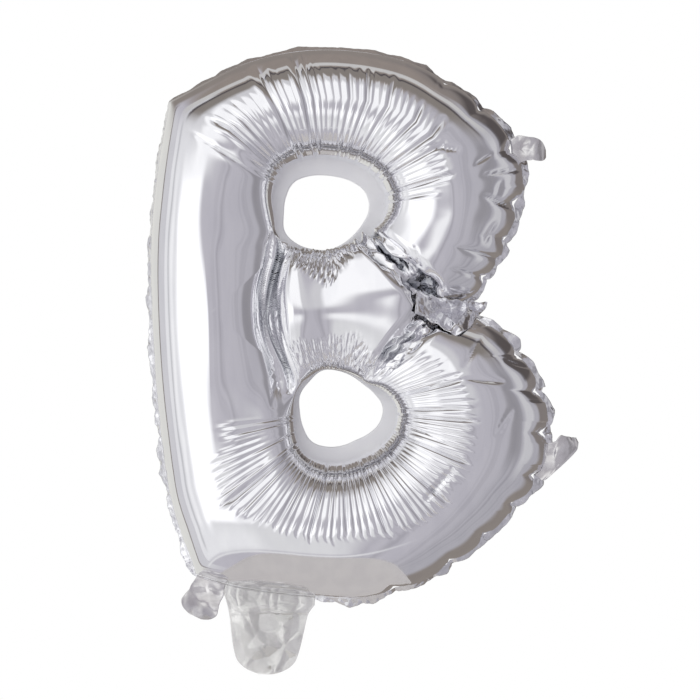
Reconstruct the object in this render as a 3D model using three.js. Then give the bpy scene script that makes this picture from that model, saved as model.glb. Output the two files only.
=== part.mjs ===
// A letter B foil balloon, filled and hanging free, in millimetres.
// X is to the reader's right, Y goes from the front panel to the back panel, Z is up.
// The weld line lies in the plane Y = 0, and the origin is the middle of the gas space.
//
// The real thing is two flat film panels welded to each other along the outer outline and round
// the two holes of the letter, with tabs cut from the weld margin and a filler neck that holds
// a valve sleeve. The panels are thin dishes here, open towards each other at the weld line.
import * as THREE from "three";

const FILM = 1.8; // thickness of each inflated panel, so that it is a solid that can be handled
const WELD_FILM = 1.0; // thickness of the two films where they are welded flat
const TAB_FILM = 0.9;
const NECK_FILM = 0.6;
const VALVE_FILM = 0.5;
const GAP = 0.3; // clearance between pieces that touch
const WELD_WIDTH = 7.0; // weld margin outside the outer outline
const COUNTER_WELD = 10.0; // weld margin inside each hole of the letter
const RUFFLE = 2.0; // how far the margin's free edge waves to and fro

const STEPS = 4; // mesh steps of the weld line from one station of the outline to the next
const BAR_STEPS = 3;
const PLAIN_WIDTH = 7.0; // mesh columns along the crest where the film isn't pleated
const ROWS = 6; // mesh rows from a weld line up to the crest
const INNER_ROWS = 3; // rows of the panel's inner skin, which lies on every second row
const INNER_REACH = 10.0; // the inner skin keeps as low as the deepest valley so far away
const LEAST_RISE = 0.05; // how far each of its rows at least rises, times the row's number
const PLEAT_WIDTH = 4.6; // pleats along the crest, with two mesh columns each
const PLEAT_SHIFT = 0.2; // how far a pleat's edge strays, as a share of its width
const DEEPEST = 1.3; // how far any pleat or crease goes into the film's thickness

// The inflated form is given by stations round the letter, clockwise from the bottom left corner.
// Columns: weld line x and z, crest x and z, share of the weld margin's full width,
// degrees by which the margin folds towards the back.
const STEM = [
  [-100.5, -146, -62, -113, 1, 0],
  [-113, -100, -78, -84, 0.9, 45],
  [-118, -45, -82, -40, 0.85, 45],
  [-119, 10, -81, 14, 0.85, 45],
  [-117, 62, -81, 58, 0.8, 60],
  [-110, 108, -77, 95, 0.8, 65],
  [-101, 147, -64, 125, 0.8, 70],
];
const BOWLS = [
  [-101, 147, -64, 125, 0.8, 70],
  [-53, 168, -38, 139, 0.8, 60],
  [-6, 174, -2, 142, 0.8, 50],
  [42.4, 165.5, 34, 134, 0.9, 60],
  [78, 145, 57, 117, 1, 25],
  [103.3, 119, 69, 99, 1, 0],
  [114, 90, 71, 78, 1, 0],
  [105, 56, 67, 58, 1, 0],
  [91.5, 32, 57, 44, 0.8, 0],
  [79.5, 17, 44, 32, 0.6, 0],
  [56, 10.3, 42, 13, 0.1, 0],
  [80, 3.6, 44, -4, 0.65, 0],
  [102.5, -14, 60, -16, 0.9, 0],
  [118.3, -44, 74, -38, 1, 0],
  [121.5, -70, 78, -65, 1, 0],
  [114.6, -96, 71, -90, 1, 0],
  [95, -118, 58, -106, 1, 0],
  [74.3, -137, 42, -117, 1, 0],
  [41.5, -156, 18, -124, 1, 0],
  [4, -165.5, -8, -126, 1, 0],
  [-37, -162, -34, -122, 1, 0],
  [-74, -155, -51, -116, 1, 0],
  [-100.5, -146, -62, -113, 1, 0],
];
// The middle bar's crest, from the waist to the stem. Columns: x and z.
const BAR = [
  [42, 13],
  [22, 14],
  [0, 14],
  [-22, 14],
  [-42, 14],
  [-60, 14],
  [-81, 14],
];
const STEM_JOINT = 3; // the station of STEM where the middle bar's crest meets the stem's
const WAIST = 10; // the station of BOWLS at the tip of the waist notch

// The holes of the letter. Radii: one every 22.5 degrees from +X towards +Z.
// Overhangs, at the same angles: how far the inflated film bulges over the hole's weld margin.
const COUNTERS = {
  upper: {
    x: -7.9,
    z: 73.7,
    radii: [
      26.5, 27.2, 24.9, 22.9, 22.8, 24.6, 27, 26.4,
      26.2, 28.2, 26.6, 24.4, 23.4, 22.3, 22.1, 23.6,
    ],
    overhangs: [1, 0.5, 0, 0, 0, 0, 1.5, 4, 7, 9, 11, 12, 12.5, 12, 10, 5],
  },
  lower: {
    x: -5.0,
    z: -48.8,
    radii: [
      25.8, 22.7, 20.7, 21.4, 23.6, 26.5, 26, 26.8,
      25.6, 26, 27, 24.8, 22.5, 21.3, 22.8, 25.2,
    ],
    overhangs: [5, 8, 12, 12.5, 12.5, 12.5, 12.5, 11.5, 10, 8, 5, 2, 1, 1, 1.5, 3],
  },
};

// Pinches where the outer weld line gathers. Columns: place along BOWLS, depth.
const PINCHES = [
  [3.75, 1.6],
  [4.5, 2.2],
  [5.5, 2.6],
  [6.5, 2.8],
  [7.25, 2.6],
  [8.25, 2.4],
  [12.25, 2.6],
  [13, 2.8],
  [14, 3.0],
  [15, 3.0],
  [15.75, 2.8],
  [16.75, 2.6],
  [17.5, 2.2],
  [18.5, 1.6],
];
const PINCH_REACH = 0.3; // in stations

// Valleys where the film folds between two pillows.
// Columns: from x, z, to x, z, share of the height that is lost, reach to each side.
const VALLEYS = [
  [14, 62, 51, 21, 0.3, 13],
  [51, 21, 58, 8, 0.3, 13],
  [55, 9, 24, -20, 0.28, 12],
];
const VALLEY_SHARPNESS = 1.5;
// The groove between the stem, which stays a straight tube, and the middle bar.
const GROOVE = {
  x: -45,
  floor: 20, // height of the film at its bottom
  reach: 24, // distance over which the bar rises from it
  bottom: [-36, -20], // z from where it fades in to where it is whole
  top: [48, 64], // and from where it fades out again
  tubeEdge: -44, // x to which the stem's tube runs down
  tubeHeight: 36, // height of the stem's crest, even from its lower to its upper end
  tubeLow: [-115, -85], // z from where the stem becomes even
  tubeHigh: [90, 120],
  tubeFade: [-66, -45], // x over which it leaves its even height beside the holes
};

// Pleats and creases lie at places round the letter, where STEM is 0 to 6 and BOWLS 6 to 28.
// Their reach runs from a hole's weld line (0) over the crest (1) to the outer weld line (2).
// Columns: from place, to place, whether the film is pleated there.
const SPANS = [
  [0, 1.75, true],
  [1.75, 3, false],
  [3, 5.4, false],
  [5.4, 16, true],
  [16, 28, true],
];
// Columns: place, where the pleats end, their depth.
const PLEATS = [
  [0, 1.06, 0.38],
  [0.7, 1.14, 0.38],
  [1.3, 1.12, 0.32],
  [1.65, 0.5, 0.15],
  [2, 0.2, 0.05],
  [5.4, 0.2, 0.05],
  [5.8, 0.6, 0.15],
  [6.1, 1.22, 0.3],
  [6.9, 1.3, 0.22],
  [7.6, 1.4, 0.26],
  [8.8, 1.4, 0.26],
  [10, 1.16, 0.28],
  [11, 1, 0.3],
  [12, 0.85, 0.26],
  [13, 0.6, 0.22],
  [15, 0.5, 0.24],
  [16, 0.5, 0.3],
  [17.2, 0.7, 0.28],
  [18, 0.9, 0.34],
  [19, 0.97, 0.4],
  [20.5, 0.99, 0.4],
  [22, 1.02, 0.42],
  [24, 1.04, 0.44],
  [26, 1.05, 0.44],
  [28, 1.06, 0.38],
];
// Deeper creases in the valleys between pleats.
// Columns: place, depth, half width, start and end of their reach.
const CREASES = [
  [0.66, 1.5, 1.3, 0.02, 1.22],
  [1.62, 0.7, 1, 0.08, 1.02],
  [6, 1.5, 1.3, 0.02, 1.28],
  [6.45, 0.8, 1, 0.1, 1.1],
  [7.1, 1.3, 1.6, 0.02, 1.75],
  [7.55, 1.4, 1.5, 0.02, 1.9],
  [8.62, 0.7, 1, 0.1, 1.45],
  [9.05, 0.8, 1, 0.05, 1.45],
  [10.1, 1.1, 1.2, 0.02, 1.3],
  [11.4, 1.1, 1.2, 0.02, 1.06],
  [18.9, 1, 1.2, 0.05, 1.02],
  [19.9, 1.1, 1.2, 0.02, 1.04],
  [20.9, 1.2, 1.3, 0.02, 1.06],
  [22.1, 1.2, 1.3, 0.02, 1.1],
  [23, 0.9, 1.1, 0.05, 1.04],
  [23.9, 1.1, 1.2, 0.04, 1.1],
  [24.8, 1, 1.2, 0.04, 1.06],
  [25.7, 1.2, 1.3, 0.02, 1.12],
  [26.7, 0.8, 1, 0.2, 1.06],
];
// Creases that run in from the outer weld line's pinches.
// Columns: place, depth, end of their reach.
const DARTS = [
  [9.75, 1.5, 1.55],
  [10.5, 2, 1.5],
  [11.5, 2.6, 1.42],
  [12.5, 3, 1.35],
  [13.25, 3, 1.3],
  [14.25, 2.6, 1.5],
  [18.25, 2.6, 1.4],
  [19, 3, 1.3],
  [20, 3, 1.45],
  [21, 3, 1.5],
  [21.75, 2.6, 1.6],
  [22.75, 2.4, 1.6],
  [23.5, 2, 1.65],
  [24.5, 1.6, 1.7],
];
const DART_WIDTH = 2.2;
const DART_REACH = 20; // how far the pillows beside a dart swell

// Tabs cut from the margin, and the neck. They leave the margin between two places along BOWLS.
// Columns of each profile: distance out, share of the root's width.
const TABS = {
  tab_upper_right: {
    from: 5.25,
    to: 5.75,
    heading: -2,
    flat: 5,
    curl: 60,
    profile: [
      [0, 1],
      [4, 0.8],
      [8, 0.78],
      [12, 0.7],
      [15, 0.5],
      [17, 0.25],
    ],
  },
  tab_lower_right: {
    from: 14.25,
    to: 15,
    heading: 24,
    squareAfter: 20,
    flat: 7,
    curl: 50,
    profile: [
      [0, 1],
      [5, 0.82],
      [10, 0.66],
      [15, 0.52],
      [20, 0.36],
      [24, 0.14],
    ],
  },
  tab_lower_left: {
    from: 21.25,
    to: 22,
    heading: -118,
    flat: 7,
    curl: -45,
    profile: [
      [0, 1],
      [5, 0.86],
      [10, 0.94],
      [14, 0.98],
      [18, 0.75],
      [20.5, 0.35],
    ],
  },
};
const NECK = {
  from: 19.75,
  to: 21.25,
  heading: -96,
  profile: [
    [0, 1],
    [6, 0.9],
    [12, 0.84],
    [24, 0.77],
    [33.5, 0.7],
    [39.5, 0.61],
    [44, 0.42],
    [46.5, 0.18],
  ],
};

const FOIL = { color: 0xc9c9cd, roughness: 0.08, metalness: 1.0 };
const WELD_FOIL = { color: 0xbdbdc2, roughness: 0.25, metalness: 1.0 };
const NECK_FOIL = { color: 0xd8d6d0, roughness: 0.3, metalness: 0.6 };
const VALVE_PLASTIC = { color: 0xe8e6dc, roughness: 0.4, metalness: 0.0 };

const root = new THREE.Group();
const radians = THREE.MathUtils.degToRad;

// Catmull-Rom value between p1 and p2.
function spline(p0, p1, p2, p3, t) {
  const a = 2 * p1;
  const b = p2 - p0;
  const c = 2 * p0 - 5 * p1 + 4 * p2 - p3;
  const d = -p0 + 3 * p1 - 3 * p2 + p3;
  return 0.5 * (a + b * t + c * t * t + d * t * t * t);
}

// A table read at a fractional place along its rows.
function readTable(table, place) {
  const last = table.length - 1;
  const i = Math.min(Math.floor(place), last - 1);
  const rowAt = (k) => table[Math.max(0, Math.min(last, k))];
  return table[0].map((_, column) =>
    spline(
      rowAt(i - 1)[column],
      rowAt(i)[column],
      rowAt(i + 1)[column],
      rowAt(i + 2)[column],
      place - i,
    ),
  );
}

// A table read at a place in its first column, straight from row to row.
function readLinear(table, place) {
  const after = Math.max(1, table.findIndex((row) => row[0] >= place));
  const [a, b] = [table[after - 1], table[after]];
  const share = (place - a[0]) / (b[0] - a[0]);
  return a.map((value, column) => value + (b[column] - value) * share);
}

function pinchAt(place) {
  let depth = 0;
  for (const [at, deep] of PINCHES) {
    const away = Math.abs(place - at) / PINCH_REACH;
    if (away < 1) depth += deep * (1 - away) ** 2;
  }
  return depth;
}

// One station of the form: the weld point, the crest point, and how the weld margin lies there.
function stationOf(row, pinch) {
  const [ex, ez, cx, cz, share, fold] = row;
  const run = Math.hypot(cx - ex, cz - ez);
  const x = ex + ((cx - ex) / run) * pinch;
  const z = ez + ((cz - ez) / run) * pinch;
  return { x, z, cx, cz, pinch, margin: WELD_WIDTH * share, fold: radians(fold) };
}

function readStations(table, pinched) {
  const stations = [];
  for (let k = 0; k < (table.length - 1) * STEPS; k++) {
    const place = k / STEPS;
    stations.push(stationOf(readTable(table, place), pinched ? pinchAt(place) : 0));
  }
  return stations;
}

const stem = readStations(STEM, false);
const bowls = readStations(BOWLS, true);
const outer = [...stem, ...bowls];

const bar = [];
for (let k = 0; k <= (BAR.length - 1) * BAR_STEPS; k++) {
  const [cx, cz] = readTable(BAR, k / BAR_STEPS);
  bar.push({ cx, cz });
}

outer.forEach((s, i) => (s.place = i / STEPS));

const CORNER = STEM.length - 1; // the place of the top left corner, where BOWLS starts
const LAST = CORNER + BOWLS.length - 1;
function crestAt(place) {
  const row = place < CORNER ? readTable(STEM, place) : readTable(BOWLS, place - CORNER);
  return { cx: row[2], cz: row[3] };
}

// Places from start up to end, spaced evenly along the crest, with the crest's length at each.
const SAMPLES = 400;
function evenPlaces(start, end, spacing) {
  const step = (end - start) / (SAMPLES - 1);
  const places = Array.from({ length: SAMPLES }, (_, k) => start + k * step);
  const lengths = [0];
  const points = places.map(crestAt);
  for (let k = 1; k < SAMPLES; k++) {
    const [a, b] = [points[k - 1], points[k]];
    lengths.push(lengths[k - 1] + Math.hypot(b.cx - a.cx, b.cz - a.cz));
  }
  const total = lengths[SAMPLES - 1];
  const count = Math.max(1, Math.round(total / spacing));
  return Array.from({ length: count + 1 }, (_, k) => {
    const wanted = (total * k) / count;
    const after = Math.max(1, lengths.findIndex((length) => length >= wanted - 1e-9));
    const share = (wanted - lengths[after - 1]) / (lengths[after] - lengths[after - 1]);
    return places[after - 1] + share * (places[after] - places[after - 1]);
  });
}

// A repeatable number from 0 to 1 for each pleat.
function chance(pleat, salt) {
  const wild = Math.sin(pleat * 12.9898 + salt * 78.233) * 43758.5453;
  return wild - Math.floor(wild);
}

// The weld point at any place lies on the straight step between two stations.
function columnAt(place, pleat, across) {
  const i = Math.floor(place * STEPS);
  const share = place * STEPS - i;
  const [a, b] = [outer[i % outer.length], outer[(i + 1) % outer.length]];
  const x = a.x + (b.x - a.x) * share;
  const z = a.z + (b.z - a.z) * share;
  return { x, z, ...crestAt(place), place, pleat, across };
}

// Mesh columns of the inflated skin: on each pleat's edge and middle.
const columns = [];
let pleatCount = 0;
for (const [start, end, isPleated] of SPANS) {
  const even = evenPlaces(start, end, isPleated ? PLEAT_WIDTH : PLAIN_WIDTH);
  const edges = even.map((edge, k) => {
    if (!isPleated || k === 0 || k === even.length - 1) return edge;
    const stray = PLEAT_SHIFT * (2 * chance(pleatCount + k, 0) - 1);
    return edge + stray * (even[k + 1] - edge);
  });
  for (let k = 0; k < edges.length - 1; k++) {
    if (isPleated) {
      columns.push(columnAt(edges[k], pleatCount, 0));
      columns.push(columnAt((edges[k] + edges[k + 1]) / 2, pleatCount, 0.5));
      pleatCount++;
    } else columns.push(columnAt(edges[k], -1, 0));
  }
}
columns.forEach((c, i) => {
  const before = columns[i - 1];
  c.along = before ? before.along + Math.hypot(c.cx - before.cx, c.cz - before.cz) : 0;
});
const lastColumn = columns[columns.length - 1];
const crestLength =
  lastColumn.along + Math.hypot(lastColumn.cx - columns[0].cx, lastColumn.cz - columns[0].cz);

// Crest points round each hole, clockwise, with their order. Both rings share the bar's crest.
const waistPlace = CORNER + WAIST;
const barInside = bar.slice(1, -1);
const barOrder = (start, isTurned) => {
  const inside = isTurned ? barInside.slice().reverse() : barInside;
  return inside.map((s, k) => ({ ...s, order: start + (k + 1) / BAR_STEPS }));
};
const ringsOf = (stations) => {
  const ordered = (list, shift) => list.map((s) => ({ ...s, order: s.place + shift }));
  const before = stations.filter((s) => s.place <= STEM_JOINT);
  const between = stations.filter((s) => s.place >= STEM_JOINT && s.place <= waistPlace);
  const after = stations.filter((s) => s.place >= waistPlace);
  return {
    upper: [...ordered(between, 0), ...barOrder(waistPlace, false)],
    lower: [...ordered(after, 0), ...ordered(before, LAST), ...barOrder(LAST + STEM_JOINT, true)],
  };
};

// A value round a hole at an angle, smooth through its list.
function roundHole(list, angle) {
  const turns = ((angle / (2 * Math.PI)) % 1) + 1;
  const place = (turns % 1) * list.length;
  const i = Math.floor(place);
  const at = (k) => list[(k + list.length) % list.length];
  return spline(at(i - 1), at(i), at(i + 1), at(i + 2), place - i);
}

// The ring's stations: the weld point lies on the ray from the hole's middle to the crest point.
function ringStations(name, stations) {
  const hole = COUNTERS[name];
  return ringsOf(stations)[name].map((s) => {
    const angle = Math.atan2(s.cz - hole.z, s.cx - hole.x);
    const radius = roundHole(hole.radii, angle);
    const overhang = Math.max(0, roundHole(hole.overhangs, angle));
    const x = hole.x + (radius + COUNTER_WELD) * Math.cos(angle);
    const z = hole.z + (radius + COUNTER_WELD) * Math.sin(angle);
    return { ...s, x, z, angle, radius, overhang };
  });
}
const counters = {
  upper: ringStations("upper", outer),
  lower: ringStations("lower", outer),
};

// A builder of indexed triangles that joins equal points.
class Surface {
  constructor() {
    this.points = [];
    this.faces = [];
    this.known = new Map();
  }
  point(x, y, z) {
    const key = [x, y, z].map((v) => Math.round(v * 1e4)).join(",");
    if (!this.known.has(key)) {
      this.known.set(key, this.points.length / 3);
      this.points.push(x, y, z);
    }
    return this.known.get(key);
  }
  at(id) {
    return new THREE.Vector3().fromArray(this.points, 3 * id);
  }
  triangle(a, b, c) {
    if (a !== b && b !== c && a !== c) this.faces.push([a, b, c]);
  }
  // Joins two rows of points, with the last joined to the first where the rows are loops.
  // A turned strip faces the other way, with its quads split along the same diagonals.
  strip(lower, upper, closed, turned = false) {
    const count = closed ? lower.length : lower.length - 1;
    for (let i = 0; i < count; i++) {
      const j = (i + 1) % lower.length;
      const halves = [
        [lower[i], lower[j], upper[j]],
        [lower[i], upper[j], upper[i]],
      ];
      for (const half of halves) this.triangle(...(turned ? half.reverse() : half));
    }
  }
  // Joins a list of looped rows, from the first to the last or facing the other way.
  ribbon(rows, flip) {
    for (let k = 1; k < rows.length; k++) {
      if (flip) this.strip(rows[k], rows[k - 1], true);
      else this.strip(rows[k - 1], rows[k], true);
    }
  }
  // Joins two looped rows whose points differ in number. Each row has the points' orders, which
  // rise round the loop from the same start to the same end.
  zip(lower, lowerOrders, upper, upperOrders, end, flip) {
    const next = (orders, k) => (k === orders.length ? Infinity : (orders[k + 1] ?? end));
    let i = 0;
    let j = 0;
    while (i < lower.length || j < upper.length) {
      const a = lower[i % lower.length];
      const b = upper[j % upper.length];
      const isLower = next(lowerOrders, i) <= next(upperOrders, j);
      if (isLower) i++;
      else j++;
      const c = isLower ? lower[i % lower.length] : upper[j % upper.length];
      this.triangle(...(flip ? [b, c, a] : [a, c, b]));
    }
  }
  volume() {
    const part = ([a, b, c]) => this.at(a).dot(this.at(b).cross(this.at(c))) / 6;
    return this.faces.reduce((sum, face) => sum + part(face), 0);
  }
  mesh(name, look) {
    if (this.volume() < 0) this.faces.forEach((face) => face.reverse());
    const geometry = new THREE.BufferGeometry();
    geometry.setAttribute("position", new THREE.Float32BufferAttribute(this.points, 3));
    geometry.setIndex(this.faces.flat());
    geometry.computeVertexNormals();
    const mesh = new THREE.Mesh(geometry, new THREE.MeshStandardMaterial(look));
    mesh.name = name;
    return mesh;
  }
}

// The plan of a panel: bands of points from each weld line in to the crest, all at Y = 0.
// Rows crowd towards the weld line, where the inflated film stands steepest.
const plan = new Surface();
const rowTurn = (row) => (row / ROWS) * (Math.PI / 2);
const makeBand = (stations, welds, end) => {
  const grid = [];
  for (let row = 0; row <= ROWS; row++) {
    const share = Math.cos(rowTurn(row));
    grid.push(
      stations.map((s) =>
        plan.point(s.cx + (s.x - s.cx) * share, 0, s.cz + (s.z - s.cz) * share),
      ),
    );
    if (row > 0) plan.strip(grid[row - 1], grid[row], true);
  }
  return { stations, welds, grid, end };
};
const byPlace = (stations) => stations.map((s) => ({ ...s, order: s.place }));
const barSpan = BAR.length - 1;
const bands = [
  makeBand(byPlace(columns), byPlace(outer), LAST),
  makeBand(ringStations("upper", columns), counters.upper, waistPlace + barSpan),
  makeBand(ringStations("lower", columns), counters.lower, LAST + STEM_JOINT + barSpan),
];
const isHole = (band) => band !== bands[0];

const { smoothstep } = THREE.MathUtils;

// The height at a point with the stem made even and the groove beside it pressed in.
// The stem's crests are given by their z, x and height.
function grooved(height, x, z, stemCrests) {
  const { floor, reach, bottom, top, tubeEdge, tubeHeight, tubeLow, tubeHigh, tubeFade } = GROOVE;
  const along = smoothstep(z, ...tubeLow) * (1 - smoothstep(z, ...tubeHigh));
  if (along === 0) return height;
  const [, crestX, crestHeight] = readLinear(stemCrests, z);
  const away = x - GROOVE.x;
  const even = along * (1 - smoothstep(x, ...tubeFade));
  const evened = height * (1 + (tubeHeight / crestHeight - 1) * even);
  if (x < crestX) return evened;
  const whole = smoothstep(z, ...bottom) * (1 - smoothstep(z, ...top));
  const across = Math.min(1, (x - crestX) / (tubeEdge - crestX));
  const tube = Math.max(floor, tubeHeight * Math.sqrt(1 - across ** 2));
  const risen = 1 - (1 - THREE.MathUtils.clamp(away / reach, 0, 1)) ** 2;
  const bar = floor + (height - floor) * risen;
  return evened + (Math.min(evened, away < 0 ? tube : bar) - evened) * whole;
}

// How much of its height the pillow keeps at a point, with the valleys taken away.
function keptShare(x, z) {
  let kept = 1;
  for (const [x0, z0, x1, z1, lost, reach] of VALLEYS) {
    const t = ((x - x0) * (x1 - x0) + (z - z0) * (z1 - z0)) / ((x1 - x0) ** 2 + (z1 - z0) ** 2);
    const near = THREE.MathUtils.clamp(t, 0, 1);
    const away = Math.hypot(x - x0 - near * (x1 - x0), z - z0 - near * (z1 - z0)) / reach;
    if (away < 1) kept *= 1 - lost * (1 - away) ** VALLEY_SHARPNESS;
  }
  return kept;
}

// Heights of the inflated panel over its plan: the root of a loaded membrane's sag, which gives
// a half circle over any straight tube and a smooth joint where tubes meet.
const SWEEPS = 500;
const OVERSHOOT = 1.9;
const FULLNESS = 0.96; // height of a tube's crest as a share of its half width
function pillowHeights() {
  const count = plan.points.length / 3;
  const links = Array.from({ length: count }, () => new Map());
  const load = new Float64Array(count);
  const link = (i, j, weight) => links[i].set(j, (links[i].get(j) ?? 0) + weight);
  for (const face of plan.faces) {
    const corners = face.map((id) => plan.at(id));
    for (let k = 0; k < 3; k++) {
      const [i, j] = [face[(k + 1) % 3], face[(k + 2) % 3]];
      const a = corners[(k + 1) % 3].clone().sub(corners[k]);
      const b = corners[(k + 2) % 3].clone().sub(corners[k]);
      const doubleArea = a.clone().cross(b).length();
      const weight = a.dot(b) / doubleArea / 2;
      link(i, j, weight);
      link(j, i, weight);
      load[face[k]] += doubleArea / 3;
    }
  }
  const isFixed = new Uint8Array(count);
  bands.forEach(({ grid }) => grid[0].forEach((id) => (isFixed[id] = 1)));
  const sag = new Float64Array(count);
  for (let sweep = 0; sweep < SWEEPS; sweep++) {
    for (let i = 0; i < count; i++) {
      if (isFixed[i]) continue;
      let pull = load[i];
      let total = 0;
      for (const [j, weight] of links[i]) {
        pull += weight * sag[j];
        total += weight;
      }
      sag[i] += OVERSHOOT * (pull / total - sag[i]);
    }
  }
  const full = Array.from(sag, (value) => FULLNESS * Math.sqrt(Math.max(0, value)));
  const stemCrests = columns
    .filter((c) => c.place <= CORNER)
    .map((c, i) => [c.cz, c.cx, full[bands[0].grid[ROWS][i]]]);
  const heights = full.map((height, id) => {
    const { x, z } = plan.at(id);
    return grooved(height, x, z, stemCrests) * keptShare(x, z);
  });
  return [full, heights];
}
const [fullHeights, heights] = pillowHeights();

// The most that the valleys and the groove take away near a point of the plan.
function lostNear(x, z) {
  let most = 0;
  for (let id = 0; id < heights.length; id++) {
    const [px, , pz] = plan.points.slice(3 * id, 3 * id + 3);
    if (Math.hypot(px - x, pz - z) < INNER_REACH) {
      most = Math.max(most, fullHeights[id] - heights[id]);
    }
  }
  return most;
}

// Creases and darts lie on the pleat edge nearest to their place, by its length along the crest.
const pleatEdges = columns.filter((c) => c.pleat >= 0 && c.across === 0);
function onEdge([place, ...rest]) {
  const gap = (c) => Math.abs(c.place - place);
  return [pleatEdges.reduce((best, c) => (gap(c) < gap(best) ? c : best)).along, ...rest];
}
const creases = CREASES.map(onEdge);
const darts = DARTS.map(onEdge);
function crestAway(a, b) {
  const away = Math.abs(a - b);
  return Math.min(away, crestLength - away);
}

// How far the film stands out of the smooth pillow (above 0) or dips below it, from its pleats.
function reliefAt(column, reach, side) {
  if (column.place === undefined) return 0;
  const salt = side < 0 ? 0 : 5;
  let relief = 0;
  if (column.pleat >= 0) {
    const [, ends, depth] = readLinear(PLEATS, column.place);
    const end = ends - 0.07 + 0.11 * chance(column.pleat, salt + 2);
    const start = 0.06 + 0.1 * chance(column.pleat, salt + 3);
    const own = 0.55 + 0.7 * chance(column.pleat, salt + 1);
    const rise = smoothstep(reach, start - 0.06, start + 0.12) * (0.45 + 0.55 * Math.min(reach, 1));
    const fade = 1 - smoothstep(reach, end - 0.07, end + 0.02);
    const ridge = column.across === 0 ? -1.24 : 0.76;
    relief += ridge * depth * own * rise * fade;
  }
  for (const [along, depth, width, first, last] of creases) {
    const away = crestAway(column.along, along);
    const shape = Math.exp(-away / width) - 0.35 * Math.exp(-(((away - 2.6 * width) / width) ** 2));
    const fade = smoothstep(reach, first, first + 0.12) * (1 - smoothstep(reach, last - 0.22, last));
    relief -= depth * shape * fade;
  }
  for (const [along, depth, last] of darts) {
    const away = crestAway(column.along, along);
    if (away > DART_REACH || reach < 1) continue;
    relief -= depth * (Math.exp(-away / DART_WIDTH) - 0.25) * smoothstep(reach, last, 1.95);
  }
  return Math.max(relief, -DEEPEST);
}

// How far a row bulges over the hole's margin: most at a third of the way up, not at its ends.
function overhangAt(station, turn) {
  return (station.overhang ?? 0) * Math.sin(2 * turn) * (1 + Math.cos(2 * turn)) * 0.77;
}

// One film panel: outer and inner skins, joined by a flat rim along each weld line.
// The outer skin has the pleats. The inner one is smooth, has the weld line's stations only, and
// is drawn in by the film's thickness, in plan and in height.
function panel(name, side) {
  const surface = new Surface();
  const place = (s, out, rise) =>
    surface.point(s.cx + (s.x - s.cx) * out, side * (GAP / 2 + rise), s.cz + (s.z - s.cz) * out);
  const skinPoint = (band, row, i) => {
    const { stations, grid } = band;
    const s = stations[i];
    const run = Math.hypot(s.x - s.cx, s.z - s.cz);
    const top = heights[grid[ROWS][i]];
    const turn = rowTurn(row);
    const [ahead, up] = [top * Math.cos(turn), run * Math.sin(turn)];
    const share = row / ROWS;
    const relief = reliefAt(s, isHole(band) ? share : 2 - share, side) / Math.hypot(ahead, up);
    const out = Math.cos(turn) + (relief * ahead + overhangAt(s, turn)) / run;
    return place(s, row === ROWS ? 0 : out, heights[grid[row][i]] + relief * up);
  };
  // Height of the inner skin's row at a weld station: the full one between the two nearest
  // columns, less the most that a valley or the groove takes away nearby.
  const innerHeight = ({ stations, grid, end }, row, { order, x, z, cx, cz }) => {
    if (row === 0) return 0;
    const found = stations.findIndex((s) => s.order > order);
    const after = found < 0 ? stations.length : found;
    const from = stations[after - 1].order;
    const to = found < 0 ? end : stations[after].order;
    const [low, high] = [after - 1, after % stations.length].map((i) => fullHeights[grid[row][i]]);
    const share = Math.cos(rowTurn(row));
    const lost = lostNear(cx + (x - cx) * share, cz + (z - cz) * share);
    return low + ((high - low) * (order - from)) / (to - from) - lost;
  };
  for (const band of bands) {
    const { stations, welds, end } = band;
    const orders = (list) => list.map((s) => s.order);
    const rim = welds.map((s) => place(s, 1, 0));
    const outside = Array.from({ length: ROWS }, (_, k) =>
      stations.map((_, i) => skinPoint(band, k + 1, i)),
    );
    const inside = Array.from({ length: INNER_ROWS + 1 }, (_, k) => {
      const row = (k * ROWS) / INNER_ROWS;
      const turn = rowTurn(row);
      return welds.map((s) => {
        const run = Math.hypot(s.x - s.cx, s.z - s.cz);
        const rise = Math.max(row * LEAST_RISE, innerHeight(band, row, s) - FILM * Math.sin(turn));
        return place(s, (1 - FILM / run) * Math.cos(turn) + overhangAt(s, turn) / run, rise);
      });
    });
    const flip = isHole(band);
    surface.zip(rim, orders(welds), outside[0], orders(stations), end, flip);
    surface.ribbon(outside, flip);
    surface.ribbon(inside, !flip);
    surface.ribbon([inside[0], rim], flip);
  }
  return surface.mesh(name, FOIL);
}

// Outward direction of the outer outline at station i, in the weld plane.
function outward(i) {
  const before = outer[(i + outer.length - 1) % outer.length];
  const after = outer[(i + 1) % outer.length];
  const dx = after.x - before.x;
  const dz = after.z - before.z;
  const run = Math.hypot(dx, dz);
  return [-dz / run, dx / run];
}

const stationAt = (place) => stem.length + Math.round(place * STEPS);
const roots = [...Object.values(TABS), NECK].map(({ from, to }) => [
  stationAt(from) - 1,
  stationAt(to) + 1,
]);
const isCalm = (i) =>
  roots.some(([from, to]) => (i >= from && i <= to) || i + outer.length <= to);

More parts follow.
